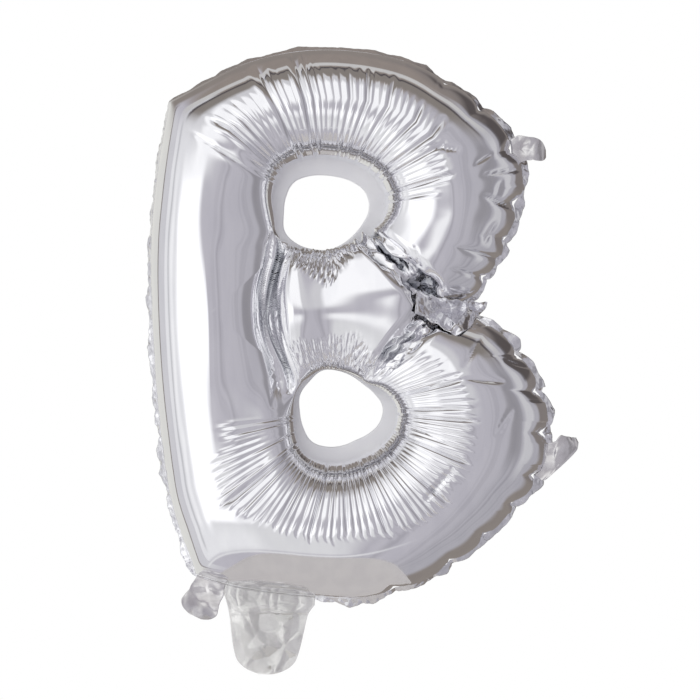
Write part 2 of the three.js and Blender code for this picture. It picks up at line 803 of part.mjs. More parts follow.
// The outer weld margin: a flat strip that ruffles, but not where a tab or the neck leaves it.
function outerWeld() {
  const surface = new Surface();
  const rails = [[], [], [], []];
  const half = WELD_FILM / 2;
  outer.forEach((s, i) => {
    const [nx, nz] = outward(i);
    const wave = isCalm(i) ? 0 : RUFFLE * Math.sin(i * 1.9) * (s.margin / WELD_WIDTH);
    const reach = s.margin * Math.cos(s.fold);
    const lift = s.margin * Math.sin(s.fold) + wave * Math.cos(s.fold);
    const corners = [
      [GAP, -half],
      [GAP, half],
      [reach, lift + half],
      [reach, lift - half],
    ];
    corners.forEach(([out, y], k) =>
      rails[k].push(surface.point(s.x + nx * out, y, s.z + nz * out)),
    );
  });
  const [rootFront, rootBack, edgeBack, edgeFront] = rails;
  surface.strip(rootFront, rootBack, true);
  surface.strip(rootBack, edgeBack, true);
  surface.strip(edgeBack, edgeFront, true);
  surface.strip(rootFront, edgeFront, true, true);
  return surface.mesh("outer_weld", WELD_FOIL);
}

// A hole's weld margin: a flat ring from just inside the weld line to the hole's edge.
function counterWeld(name) {
  const surface = new Surface();
  const hole = COUNTERS[name];
  const rails = [[], [], [], []];
  const half = WELD_FILM / 2;
  counters[name].forEach(({ angle, radius }) => {
    const corners = [
      [radius + COUNTER_WELD - GAP, -half],
      [radius + COUNTER_WELD - GAP, half],
      [radius, half],
      [radius, -half],
    ];
    corners.forEach(([r, y], k) =>
      rails[k].push(
        surface.point(hole.x + r * Math.cos(angle), y, hole.z + r * Math.sin(angle)),
      ),
    );
  });
  rails.forEach((rail, k) => surface.strip(rail, rails[(k + 1) % 4], true));
  return surface.mesh(name + "_counter_weld", WELD_FOIL);
}

// A tongue of film that leaves the margin's free edge: flat at its root, then curled.
// Its two faces lie at the given places in Y, and its outline is the profile's.
// Its root follows the margin's edge, and its rows are square to its heading from squareAfter on.
const TONGUE_ROWS = 10;
function tongue(name, look, shape, yFront, yBack) {
  const { from, to, profile, flat = Infinity, curl = 0, squareAfter = 8 } = shape;
  const heading = radians(shape.heading);
  const ahead = new THREE.Vector2(Math.cos(heading), Math.sin(heading));
  const root = [];
  for (let i = stationAt(from); i <= stationAt(to); i++) {
    const [nx, nz] = outward(i);
    const s = outer[i % outer.length];
    const out = s.margin + GAP;
    root.push(new THREE.Vector2(s.x + nx * out, s.z + nz * out));
  }
  const middle = root[0].clone().add(root[root.length - 1]).multiplyScalar(0.5);
  const length = profile[profile.length - 1][0];
  const bendOver = Math.max(1, length - flat);
  const surface = new Surface();
  const faces = [yFront, yBack].map((y) => {
    const rows = [];
    for (let k = 0; k <= TONGUE_ROWS; k++) {
      const [along, share] = readTable(profile, (k / TONGUE_ROWS) * (profile.length - 1));
      const bent = Math.max(0, along - flat);
      const turn = radians(curl) * (bent / bendOver);
      const reach = along - bent + (turn ? (bent * Math.sin(turn)) / turn : bent);
      const lift = turn ? (bent * (1 - Math.cos(turn))) / turn : 0;
      const straight = Math.min(1, along / squareAfter);
      rows.push(
        root.map((p) => {
          const side = p.clone().sub(middle);
          const forward = side.dot(ahead) * (1 - straight);
          const across = side.dot(new THREE.Vector2(-ahead.y, ahead.x)) * share;
          const ahead1 = reach + forward - y * Math.sin(turn);
          return surface.point(
            middle.x + ahead.x * ahead1 - ahead.y * across,
            lift + y * Math.cos(turn),
            middle.y + ahead.y * ahead1 + ahead.x * across,
          );
        }),
      );
    }
    return rows;
  });
  const [front, back] = faces;
  const last = root.length - 1;
  for (let k = 0; k < TONGUE_ROWS; k++) {
    surface.strip(front[k], front[k + 1], false);
    surface.strip(back[k], back[k + 1], false, true);
  }
  const edge = (column) => [front.map((row) => row[column]), back.map((row) => row[column])];
  surface.strip(...edge(0), false);
  surface.strip(...edge(last).reverse(), false);
  surface.strip(back[0], front[0], false);
  surface.strip(front[TONGUE_ROWS], back[TONGUE_ROWS], false);
  return surface.mesh(name, look);
}

root.add(panel("front_panel", -1), panel("back_panel", 1));
root.add(outerWeld(), counterWeld("upper"), counterWeld("lower"));
for (const [name, shape] of Object.entries(TABS)) {
  root.add(tongue(name, WELD_FOIL, shape, -TAB_FILM / 2, TAB_FILM / 2));
}
const valveFace = VALVE_FILM / 2;
const neckFace = valveFace + GAP;
root.add(tongue("neck_front_film", NECK_FOIL, NECK, -neckFace - NECK_FILM, -neckFace));
root.add(tongue("neck_back_film", NECK_FOIL, NECK, neckFace, neckFace + NECK_FILM));
const sleeve = { ...NECK, from: 20, to: 21 };
root.add(tongue("valve_sleeve", VALVE_PLASTIC, sleeve, -valveFace, valveFace));

export default root;
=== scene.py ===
# Looks of a letter B foil balloon: inflated film panels with pleats and crumples, welded margins,
# tabs and a filler neck. Sizes are in millimetres until a mesh is made, which is in metres.
import math

import bpy
import numpy as np
from mathutils import Matrix


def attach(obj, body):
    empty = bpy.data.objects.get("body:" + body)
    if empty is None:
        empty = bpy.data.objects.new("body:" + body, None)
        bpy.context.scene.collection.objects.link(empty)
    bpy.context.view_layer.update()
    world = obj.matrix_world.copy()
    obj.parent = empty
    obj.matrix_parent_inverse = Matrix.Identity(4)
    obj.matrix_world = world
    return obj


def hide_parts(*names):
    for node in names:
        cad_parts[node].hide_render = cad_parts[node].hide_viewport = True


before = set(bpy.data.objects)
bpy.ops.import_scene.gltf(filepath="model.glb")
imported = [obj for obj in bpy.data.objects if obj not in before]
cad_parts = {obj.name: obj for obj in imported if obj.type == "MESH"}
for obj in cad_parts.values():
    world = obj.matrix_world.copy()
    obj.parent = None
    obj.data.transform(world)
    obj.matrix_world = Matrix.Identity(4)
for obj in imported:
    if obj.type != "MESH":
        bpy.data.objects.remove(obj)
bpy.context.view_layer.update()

MM = 0.001
TURN = 2 * math.pi

# Driving dimensions, the same as the solids'
WELD_WIDTH = 7.0
COUNTER_WELD = 10.0
FULLNESS = 0.96
RIM = 0.12  # half the gap between the two panels at a weld line

# Stations round the letter, clockwise from the bottom left corner. Columns: weld line x and z,
# crest x and z, share of the weld margin's full width, degrees that the margin folds back.
STEM = [
    (-100.5, -146, -62, -113, 1, 0),
    (-113, -100, -78, -84, 0.9, 45),
    (-118, -45, -82, -40, 0.85, 45),
    (-119, 10, -81, 14, 0.85, 45),
    (-117, 62, -81, 58, 0.8, 60),
    (-110, 108, -77, 95, 0.8, 65),
    (-101, 147, -64, 125, 0.8, 70),
]
BOWLS = [
    (-101, 147, -64, 125, 0.8, 70),
    (-53, 168, -38, 139, 0.8, 60),
    (-6, 174, -2, 142, 0.8, 50),
    (42.4, 165.5, 34, 134, 0.9, 60),
    (78, 145, 57, 117, 1, 25),
    (103.3, 119, 69, 99, 1, 0),
    (114, 90, 71, 78, 1, 0),
    (105, 56, 67, 58, 1, 0),
    (91.5, 32, 57, 44, 0.8, 0),
    (79.5, 17, 44, 32, 0.6, 0),
    (56, 10.3, 42, 13, 0.1, 0),
    (80, 3.6, 44, -4, 0.65, 0),
    (102.5, -14, 60, -16, 0.9, 0),
    (118.3, -44, 74, -38, 1, 0),
    (121.5, -70, 78, -65, 1, 0),
    (114.6, -96, 71, -90, 1, 0),
    (95, -118, 58, -106, 1, 0),
    (74.3, -137, 42, -117, 1, 0),
    (41.5, -156, 18, -124, 1, 0),
    (4, -165.5, -8, -126, 1, 0),
    (-37, -162, -34, -122, 1, 0),
    (-74, -155, -51, -116, 1, 0),
    (-100.5, -146, -62, -113, 1, 0),
]
BAR = [(42, 13), (22, 14), (0, 14), (-22, 14), (-42, 14), (-60, 14), (-81, 14)]
STEM_JOINT = 3.0
CORNER = 6.0  # the place of the top left corner, where BOWLS starts
WAIST = 16.0
LAST = 28.0
ON_BAR = 100  # added to the places along BAR

# The holes: middle x and z, then every 22.5 degrees from +X towards +Z the radii, and how far
# the inflated film bulges over the hole's weld margin.
COUNTERS = {
    "upper": (
        -7.9, 73.7,
        (26.5, 27.2, 24.9, 22.9, 22.8, 24.6, 27, 26.4, 26.2, 28.2, 26.6, 24.4, 23.4, 22.3, 22.1, 23.6),
        (1, 0.5, 0, 0, 0, 0, 1.5, 4, 7, 9, 11, 12, 12.5, 12, 10, 5),
    ),
    "lower": (
        -5.0, -48.8,
        (25.8, 22.7, 20.7, 21.4, 23.6, 26.5, 26, 26.8, 25.6, 26, 27, 24.8, 22.5, 21.3, 22.8, 25.2),
        (5, 8, 12, 12.5, 12.5, 12.5, 12.5, 11.5, 10, 8, 5, 2, 1, 1, 1.5, 3),
    ),
}
# Pinches of the outer weld line. Columns: place along BOWLS, depth.
PINCHES = [
    (3.75, 1.6), (4.5, 2.2), (5.5, 2.6), (6.5, 2.8), (7.25, 2.6), (8.25, 2.4), (12.25, 2.6),
    (13, 2.8), (14, 3.0), (15, 3.0), (15.75, 2.8), (16.75, 2.6), (17.5, 2.2), (18.5, 1.6),
]
PINCH_REACH = 0.3

# Valleys where the film folds between two pillows.
# Columns: from x, z, to x, z, share of the height that is lost, reach to each side.
VALLEYS = [
    (14, 62, 51, 21, 0.3, 13),
    (51, 21, 58, 8, 0.3, 13),
    (55, 9, 24, -20, 0.28, 12),
]
VALLEY_SHARPNESS = 1.5
# The groove between the stem, which stays a straight tube, and the middle bar.
GROOVE_X = -45
GROOVE_FLOOR = 20  # height of the film at its bottom
GROOVE_REACH = 24  # distance over which the bar rises from it
GROOVE_ROUNDNESS = 2.6  # how soon it rises
GROOVE_ENDS = (-54, -24, 48, 74)  # z where it fades in, is whole, is still whole, has faded out
TUBE_EDGE = -44  # x to which the stem's tube runs down
TUBE_HEIGHT = 36  # height of the stem's crest, even from its lower to its upper end
TUBE_ENDS = (-115, -85, 90, 120)
TUBE_FADE = (-66, -45)  # x over which it leaves its even height beside the holes

# Pleats. Reach runs from a hole's weld (0) over the crest (1) to the outer weld (2).
# Columns: place round the letter, where the pleats end, their depth.
PLEATS = [
    (0, 1.06, 0.38), (0.7, 1.14, 0.38), (1.3, 1.12, 0.32), (1.65, 0.5, 0.15), (2, 0.2, 0.05),
    (5.4, 0.2, 0.05), (5.8, 0.6, 0.15), (6.1, 1.22, 0.3), (6.9, 1.3, 0.22), (7.6, 1.4, 0.26),
    (8.8, 1.4, 0.26), (10, 1.16, 0.28), (11, 1, 0.3), (11.5, 0.9, 0.28), (11.8, 0.5, 0.24),
    (12.5, 0.42, 0.24), (15, 0.42, 0.24), (16, 0.5, 0.3), (17.2, 0.7, 0.28), (18, 0.9, 0.34),
    (19, 0.97, 0.4),
    (20.5, 0.99, 0.48), (22, 1.02, 0.52), (24, 1.04, 0.54), (26, 1.05, 0.5), (28, 1.06, 0.4),
]
PLEAT_SHIFT = 0.2  # how far a pleat's edge strays, as a share of its width
# Pleats that start further out: places, and how much more reach they leave bare
LATE_PLEATS = ([0.6, 0.75, 1.7, 1.8], [0, 0.5, 0.4, 0])
CALM_SPAN = (6, 12)  # places between which some groups of pleats are shallow
CALM_SHARE = 0.42  # share of the groups there
CALM_DEPTH = 0.3  # what is left of their depth
# Single long creases among the pleats. Columns: place, depth, half width, start and end of reach.
CREASES = [
    (0.66, 1.5, 1.3, 0.02, 1.22), (1.05, 0.6, 0.9, 0.05, 0.8), (1.5, 0.8, 1.0, 0.05, 1.0),
    (1.62, 0.7, 1.0, 0.08, 1.02), (5.55, 0.7, 1.0, 0.10, 0.7), (5.65, 0.7, 0.9, 0.08, 0.8),
    (6.0, 1.5, 1.3, 0.02, 1.28), (6.3, 0.7, 1.0, 0.05, 1.15), (6.45, 0.8, 1.0, 0.1, 1.1),
    (7.1, 1.3, 1.6, 0.02, 1.75), (7.2, 0.8, 1.0, 0.3, 1.6), (7.55, 1.4, 1.5, 0.02, 1.9),
    (7.68, 0.9, 1.0, 0.3, 1.8), (8.3, 0.7, 0.9, 0.1, 1.4), (8.62, 0.7, 1.0, 0.1, 1.45),
    (9.05, 0.8, 1.0, 0.05, 1.45), (9.5, 0.7, 0.9, 0.1, 1.3), (10.1, 1.1, 1.2, 0.02, 1.3),
    (10.5, 0.8, 1.0, 0.1, 1.1), (11.4, 1.1, 1.2, 0.02, 1.06), (11.9, 0.7, 1.0, 0.1, 0.9),
    (18.9, 1.0, 1.2, 0.05, 1.02), (19.9, 1.1, 1.2, 0.02, 1.04), (20.9, 1.2, 1.3, 0.02, 1.06),
    (22.1, 1.2, 1.3, 0.02, 1.10), (23.0, 0.9, 1.1, 0.05, 1.04), (23.9, 1.1, 1.2, 0.04, 1.10),
    (24.8, 1.0, 1.2, 0.04, 1.06), (25.7, 1.2, 1.3, 0.02, 1.12), (26.7, 0.8, 1.0, 0.2, 1.06),
]
# Creases that run in from the outer weld's pinches. Columns: place, depth, end of reach inwards.
DARTS = [
    (9.75, 1.5, 1.55), (10.5, 2.0, 1.5), (11.5, 2.6, 1.42), (12.5, 3.0, 1.35), (13.25, 3.0, 1.3),
    (14.25, 2.6, 1.5), (18.25, 2.6, 1.4), (19.0, 3.0, 1.3), (20.0, 3.0, 1.45), (21.0, 3.0, 1.5),
    (21.75, 2.6, 1.6), (22.75, 2.4, 1.6), (23.5, 2.0, 1.65), (24.5, 1.6, 1.7),
]
# Upright folds where the middle bar meets the stem. Columns: x, from z, to z, depth, half width.
UPRIGHTS = [
    (-50.0, -10, 60, 2.2, 0.9), (-46.6, -34, 66, 4.0, 1.1), (-43.2, -28, 58, 3.4, 1.0),
    (-40.2, -16, 48, 2.0, 0.9), (-53.0, -46, 6, 1.3, 1.0), (-37.0, -2, 36, 1.0, 1.0),
]
# Crumpled zones. Columns: from x, z, to x, z, reach, depth, size of the facets, and how much
# longer they are along the zone than across it.
CRUMPLES = [
    (14, 60, 50, 22, 10.0, 2.6, 6.5, 1.9),
    (46, 24, 60, 10, 10.0, 3.0, 6.5, 1.9),
    (56, 9, 26, -18, 9.0, 2.4, 6.0, 1.9),
    (10, 60, 24, 78, 7.0, 1.3, 5.0, 1.2),
    (-38, 43, -8, 31, 8.0, 1.1, 6.5, 0.4),
    (-8, 31, 14, 44, 6.0, 0.7, 6.0, 0.4),
    (-34, -7, 6, -5, 7.0, 1.0, 6.5, 0.4),
    (10, -8, 30, -20, 6.0, 1.0, 5.0, 0.8),
]
# Straight folds and dimples. Columns: from x, z, to x, z, depth, half width.
FOLDS = [
    (24, -20, 40, -3, 3.0, 1.1), (20, 56, 46, 27, 2.4, 1.1), (46, 27, 58, 9, 2.0, 1.1),
    (14, 60, 30, 66, 1.2, 1.0), (48, 26, 46, 48, 1.4, 1.0),
    (57, 109, 76, 105, 2.0, 1.2), (88, 90, 113, 93, 2.2, 1.5), (88, 78, 110, 68, 2.2, 1.5),
    (70, 47, 102, 37, 2.4, 1.5), (96, 103, 84, 96, 1.4, 1.4), (100, 86, 97, 74, 1.2, 1.2),
    (96, 62, 88, 48, 1.2, 1.4), (66, 34, 88, 27, 1.4, 1.3),
    (34, -43, 70, -30, 1.4, 1.2), (34, -51, 68, -51, 1.3, 1.2), (34, -59, 61, -73, 1.2, 1.2),
    (62, -87, 42, -107, 2.8, 1.1), (70, -33, 96, -37, 1.8, 1.2), (96, -23, 112, -30, 1.6, 1.4),
    (84, -8, 70, -28, 1.0, 1.6), (100, -52, 88, -70, 0.9, 1.6), (-88, 126, -48, 96, 1.6, 1.3),
]
# Fine upright streaks on the stem and a bundle of small folds in the groove.
# Columns: x where they fade in from and to, and out from and to.
STREAKS_X, STREAKS_Z = (-110, -100, -52, -44), (-80, -55, 85, 105)
BUNDLE_X, BUNDLE_Z = (-53, -49, -41, -35), (-30, -10, 45, 62)
BUNDLE_DEPTH = 1.1
# Broad ridges. Columns: from x, z, to x, z, height, half width.
RIDGES = [
    (-30, 30, 36, 21, 0.9, 7), (58, 110, 68, 92, 0.9, 13), (68, 92, 70, 66, 0.9, 13),
    (70, 66, 60, 44, 0.9, 13), (-20, 8, 20, 2, 0.5, 8),
]
# The margin's crumpled fold over the lower bowl beside the waist: its upper and lower edge, x and z.
WAIST_FLAP = (
    [(45.0, 22.0), (58.0, 17.5), (72.0, 15.0), (89.0, 13.0)],
    [(43.0, 8.0), (56.0, 0.0), (70.0, -7.0), (88.0, 9.0)],
)
FLAP_CLEARANCE = 1.0  # its least height above the film
FLAP_ROUGHNESS = 1.6
FLAP_MIDDLE, FLAP_HALF = (66, 6), (38, 30)  # of the film that lies under it
# The outer margin round the letter. Columns: place, share of small gathers, share of large
# facets, and degrees that it folds back on top of the stations' own.
MARGIN_STYLE = [
    (0, 0.5, 0.4, 0), (0.4, 0.8, 0.5, 0), (5.5, 0.8, 0.5, 0), (6, 0.2, 0.2, 0),
    (9.2, 0.2, 0.3, 0), (9.8, 0.25, 1, 38), (11.2, 0.25, 1, 48), (11.6, 1, 1, 40),
    (12.6, 0.9, 1, 30), (14.5, 0.9, 1, 25), (16, 0.5, 0.6, 0), (17, 0.3, 1, 10),
    (18.2, 0.3, 1, 25), (19, 0.4, 1, 40), (20.2, 1, 1, 25), (21.5, 0.7, 1, 30),
    (23.2, 0.4, 1, 40), (24.5, 0.6, 0.8, 60), (25.4, 0.8, 0.6, 20), (28, 0.5, 0.4, 0),
]
# Shares by place: of the margin's width, which is less in front of the neck and the lower left
# tab, and of the scallops, which lie along the stem and the top.
MARGIN_WIDTHS = ([0, 0.2, 25.5, 25.8, 28], [0.3, 1, 1, 0.3, 0.3])
SCALLOPS = ([0, 0.3, 5.5, 6, 9, 10, 28], [0.3, 1, 1, 0.8, 0.5, 0, 0])

FOLD_SHADE_DEPTHS = (0.8, 3.4)  # fold depth where the painted shade of a fold begins, and where it is whole
# Thickness of the films of the margin and tabs, of the holes' margins, and of the neck
MARGIN_FILM, RING_FILM, NECK_FILM = 0.12, 0.14, 0.1

# Mesh fineness
OUTER_ROWS = 32
RING_ROWS = 50
PLEAT_WIDTH = 4.6  # at the crest
PLEAT_COLUMNS = 6
SMOOTH_STEP = 1.5  # column spacing at the crest where the film isn't pleated
MARGIN_ROWS = 12
FLAP_ROWS, FLAP_COLUMNS = 44, 110
TAB_ROWS, TAB_COLUMNS = 56, 48
NECK_ROWS, NECK_COLUMNS = 110, 90


def spline_read(table, places):
    """Catmull-Rom reading of a table's rows at fractional places."""
    rows = np.array(table, float)
    last = len(rows) - 1
    i = np.minimum(np.floor(places).astype(int), last - 1)
    t = (places - i)[:, None]
    p0, p1, p2, p3 = (rows[np.clip(i + k, 0, last)] for k in (-1, 0, 1, 2))
    return 0.5 * (
        2 * p1
        + (p2 - p0) * t
        + (2 * p0 - 5 * p1 + 4 * p2 - p3) * t**2
        + (3 * p1 - p0 - 3 * p2 + p3) * t**3
    )


def read_outline(places):
    """Station rows at places from 0 to LAST round the letter."""
    on_stem = places < CORNER
    stem = spline_read(STEM, np.where(on_stem, places, 0))
    bowls = spline_read(BOWLS, np.where(on_stem, 0, places - CORNER))
    return np.where(on_stem[:, None], stem, bowls)


def crest_spacing(start, end, read, spacing):
    """Places from start up to end, not with it, spaced evenly along the crest."""
    fine = np.linspace(start, end, 400)
    steps = np.hypot(*np.diff(read(fine), axis=0).T)
    length = np.concatenate([[0], np.cumsum(steps)])
    count = max(1, round(length[-1] / spacing))
    return np.interp(np.arange(count) / count * length[-1], length, fine)


def chance(pleat, salt):
    """Repeatable numbers from 0 to 1, one for each pleat."""
    return (np.sin(np.asarray(pleat) * 12.9898 + salt * 78.233) * 43758.5453) % 1


def columns_between(start, end, read, pleated, first=0):
    """Column places and, for each, its pleat's number and how far across the pleat it lies."""
    if not pleated:
        places = crest_spacing(start, end, read, SMOOTH_STEP)
        return places, np.full(len(places), -1), np.zeros(len(places))
    edges = crest_spacing(start, end, read, PLEAT_WIDTH)
    stray = PLEAT_SHIFT * (2 * chance(first + np.arange(len(edges)), 0) - 1)
    stray[0] = 0
    edges = np.append(edges + stray * np.diff(np.append(edges, end)), end)
    share = np.arange(PLEAT_COLUMNS) / PLEAT_COLUMNS
    places = (edges[:-1, None] + np.diff(edges)[:, None] * share).ravel()
    number = first + np.repeat(np.arange(len(edges) - 1), PLEAT_COLUMNS)
    return places, number, np.tile(share, len(edges) - 1)


def smoothstep(low, high, x):
    """0 up to low, 1 from high, and smooth between them."""
    t = np.clip((x - low) / (high - low), 0, 1)
    return t * t * (3 - 2 * t)


def faded(x, in_from, in_to, out_from, out_to):
    """1 between a smooth rise and a smooth fall, 0 outside them."""
    return smoothstep(in_from, in_to, x) * (1 - smoothstep(out_from, out_to, x))


def smooth_noise(points, scale, seed):
    """Smooth value noise from -1 to 1 at points, with features about scale across."""
    table = np.random.RandomState(seed).uniform(-1, 1, 4096)
    q = points / scale
    cell = np.floor(q).astype(np.int64)
    f = q - cell
    f = f * f * f * (f * (f * 6 - 15) + 10)
    total = np.zeros(len(points))
    for corner in range(8):
        bits = np.array([corner & 1, corner >> 1 & 1, corner >> 2 & 1])
        c = cell + bits
        key = (c[:, 0] * 73856093 ^ c[:, 1] * 19349663 ^ c[:, 2] * 83492791) % 4096
        total += table[key] * np.prod(np.where(bits, f, 1 - f), axis=1)
    return total


def creased(points, scale, seed):
    """Sharply folded film: zigzags of several directions and widths, from about -1 to 1."""
    rng = np.random.RandomState(seed)
    total = np.zeros(len(points))
    for k in range(5):
        angle, width = rng.uniform(0, math.pi), scale * rng.uniform(0.6, 1.5)
        across = points[:, 0] * math.cos(angle) + points[:, 2] * math.sin(angle)
        phase = across / width + 0.7 * smooth_noise(points, 2.3 * scale, seed + 7 * k)
        total += (np.abs(phase % 1 - 0.5) * 4 - 1) * width / scale
    return total / 3


def segment_distance(x, z, x0, z0, x1, z1):
    """Distance from points to a segment, and the share along it of the nearest point."""
    along = ((x - x0) * (x1 - x0) + (z - z0) * (z1 - z0)) / ((x1 - x0) ** 2 + (z1 - z0) ** 2)
    near = np.clip(along, 0, 1)
    return np.hypot(x - x0 - near * (x1 - x0), z - z0 - near * (z1 - z0)), near


def pinch_depth(places):
    """How far the outer weld line is drawn in at places along it."""
    depth = np.zeros(len(places))
    for at, deep in PINCHES:
        away = np.abs(places - CORNER - at) / PINCH_REACH
        depth += deep * np.clip(1 - away, 0, 1) ** 2
    return depth


def round_hole(values, angle):
    """A value round a hole at an angle, smooth through its list."""
    place = (angle / TURN) % 1 * len(values)
    rows = [(r,) for r in (values[-1], *values, values[0], values[1])]
    return spline_read(rows, place + 1)[:, 0]


def band_faces(grid, is_ring):
    """Triangles of a looped band of rows. Rings are wound the other way."""
    a, d = grid[:-1].ravel(), grid[1:].ravel()
    b, c = np.roll(grid[:-1], -1, axis=1).ravel(), np.roll(grid[1:], -1, axis=1).ravel()
    faces = np.vstack([np.stack([a, b, c], 1), np.stack([a, c, d], 1)])
    return faces[:, ::-1] if is_ring else faces


def vertex_normals(points, faces):
    """Unit normals, averaged over the faces round each point."""
    a, b, c = (points[faces[:, k]] for k in range(3))
    n = np.cross(b - a, c - a)
    total = np.zeros_like(points)
    for axis in range(3):
        for k in range(3):
            total[:, axis] += np.bincount(faces[:, k], n[:, axis], len(points))
    return total / np.maximum(np.linalg.norm(total, axis=1), 1e-12)[:, None]


class Letter:
    """The plan of a panel and its inflated height, shared by the front and the back."""

    def __init__(self):
        crest = lambda t: read_outline(t)[:, 2:4]
        bar = lambda u: spline_read(BAR, u)[:, 0:2]
        spans = [
            (0.0, 1.75, crest, True),
            (1.75, STEM_JOINT, crest, False),
            (STEM_JOINT, 5.4, crest, False),
            (5.4, WAIST, crest, True),
            (WAIST, LAST, crest, True),
        ]
        made, count = [], 0
        for span in spans:
            made.append(columns_between(*span, count))
            count = max(count, made[-1][1].max() + 1)
        self.place = np.concatenate([m[0] for m in made])
        self.n_outer = len(self.place)
        stem_index = sum(len(m[0]) for m in made[:2])
        waist_index = sum(len(m[0]) for m in made[:4])
        bar_place = columns_between(0.0, 6.0, bar, True)[0][1:]
        self.place = np.concatenate([self.place, ON_BAR + bar_place])
        self.pleat = np.concatenate([m[1] for m in made] + [np.full(len(bar_place), -1)])
        self.across = np.concatenate([m[2] for m in made] + [np.zeros(len(bar_place))])
        self.n_crest = len(self.place)
        self.build_plan(bar(bar_place), stem_index, waist_index)
        self.solve_height()

    def build_plan(self, bar_crest, stem_index, waist_index):
        rows = read_outline(self.place[: self.n_outer])
        weld, crest = rows[:, 0:2], rows[:, 2:4]
        self.margin, self.fold = rows[:, 4] * WELD_WIDTH, np.radians(rows[:, 5])
        toward = crest - weld
        toward /= np.linalg.norm(toward, axis=1)[:, None]
        weld = weld + toward * pinch_depth(self.place[: self.n_outer])[:, None]
        self.weld = weld
        tangent = np.roll(weld, -3, axis=0) - np.roll(weld, 3, axis=0)
        self.out = np.stack([-tangent[:, 1], tangent[:, 0]], 1)
        self.out /= np.linalg.norm(self.out, axis=1)[:, None]
        tops = np.vstack([crest, bar_crest])
        outer = np.arange(self.n_outer)
        bar = self.n_outer + np.arange(len(bar_crest))
        ids = {
            "outer": outer,
            "upper": np.concatenate([outer[stem_index : waist_index + 1], bar]),
            "lower": np.concatenate([outer[waist_index:], outer[: stem_index + 1], bar[::-1]]),
        }
        self.bands, self.rings = [], {}
        bulges = [np.zeros((self.n_crest, 2))]
        points, columns, reach = [tops], [np.arange(self.n_crest)], [np.ones(self.n_crest)]
        count = self.n_crest
        for name, ring in ids.items():
            if name == "outer":
                lows, n_rows = weld, OUTER_ROWS
            else:
                x, z, radii, overhangs = COUNTERS[name]
                angle = np.arctan2(tops[ring, 1] - z, tops[ring, 0] - x)
                radius = round_hole(radii, angle)
                aim = np.stack([np.cos(angle), np.sin(angle)], 1)
                lows = (x, z) + aim * (radius + COUNTER_WELD)[:, None]
                n_rows = RING_ROWS
                self.rings[name] = (angle, radius)
            rise = np.arange(n_rows) / n_rows
            turn = (rise * math.pi / 2)[:, None, None]
            points.append((tops[ring] + (lows - tops[ring]) * np.cos(turn)).reshape(-1, 2))
            bulge = np.zeros((n_rows, len(ring), 2))
            if name != "outer":
                inward = (lows - tops[ring]) / np.linalg.norm(lows - tops[ring], axis=1)[:, None]
                over = np.maximum(round_hole(overhangs, angle), 0)[:, None]
                bulge = inward * over * np.sin(2 * turn) * (1 + np.cos(2 * turn)) * 0.77
            bulges.append(bulge.reshape(-1, 2))
            columns.append(np.tile(ring, n_rows))
            reach.append(np.repeat(2 - rise if name == "outer" else rise, len(ring)))
            grid = count + np.arange(n_rows * len(ring)).reshape(n_rows, -1)
            self.bands.append(np.vstack([grid, ring]))
            count += n_rows * len(ring)
        self.plan, self.bulge = np.vstack(points), np.vstack(bulges)
        self.column = np.concatenate(columns)
        self.reach = np.concatenate(reach)
        self.faces = np.vstack([band_faces(g, k > 0) for k, g in enumerate(self.bands)])

    def solve_height(self):
        """Height as the root of a loaded membrane's sag over the plan."""
        p, f = self.plan, self.faces
        n = len(p)
        edge1, edge2 = p[f[:, 1]] - p[f[:, 0]], p[f[:, 2]] - p[f[:, 0]]
        double_area = np.maximum(np.abs(edge1[:, 0] * edge2[:, 1] - edge1[:, 1] * edge2[:, 0]), 1e-4)
        load = np.zeros(n)
        starts, ends, weights = [], [], []
        for k in range(3):
            i, j, o = f[:, (k + 1) % 3], f[:, (k + 2) % 3], f[:, k]
            starts.append(i)
            ends.append(j)
            weights.append(0.5 * ((p[i] - p[o]) * (p[j] - p[o])).sum(1) / double_area)
            load += np.bincount(o, double_area / 3, n)
        i, j, w = (np.concatenate(x) for x in (starts, ends, weights))
        diagonal = np.bincount(i, w, n) + np.bincount(j, w, n)
        free = np.ones(n)
        for band in self.bands:
            free[band[0]] = 0

        def apply(x):
            return free * (diagonal * x - np.bincount(i, w * x[j], n) - np.bincount(j, w * x[i], n))

        inverse = 1 / diagonal
        sag, r = np.zeros(n), free * load
        z = inverse * r
        d = z.copy()
        rho = start = r @ z
        for _ in range(1500):
            q = apply(d)
            step = rho / (d @ q)
            sag += step * d
            r -= step * q
            z = inverse * r
            fresh = r @ z
            if fresh < 1e-11 * start:
                break
            d = z + (fresh / rho) * d
            rho = fresh
        kept = np.ones(n)
        for x0, z0, x1, z1, lost, reach in VALLEYS:
            away, _ = segment_distance(p[:, 0], p[:, 1], x0, z0, x1, z1)
            kept *= 1 - lost * np.clip(1 - away / reach, 0, 1) ** VALLEY_SHARPNESS
        self.height = self.grooved(FULLNESS * np.sqrt(np.maximum(sag, 0))) * kept

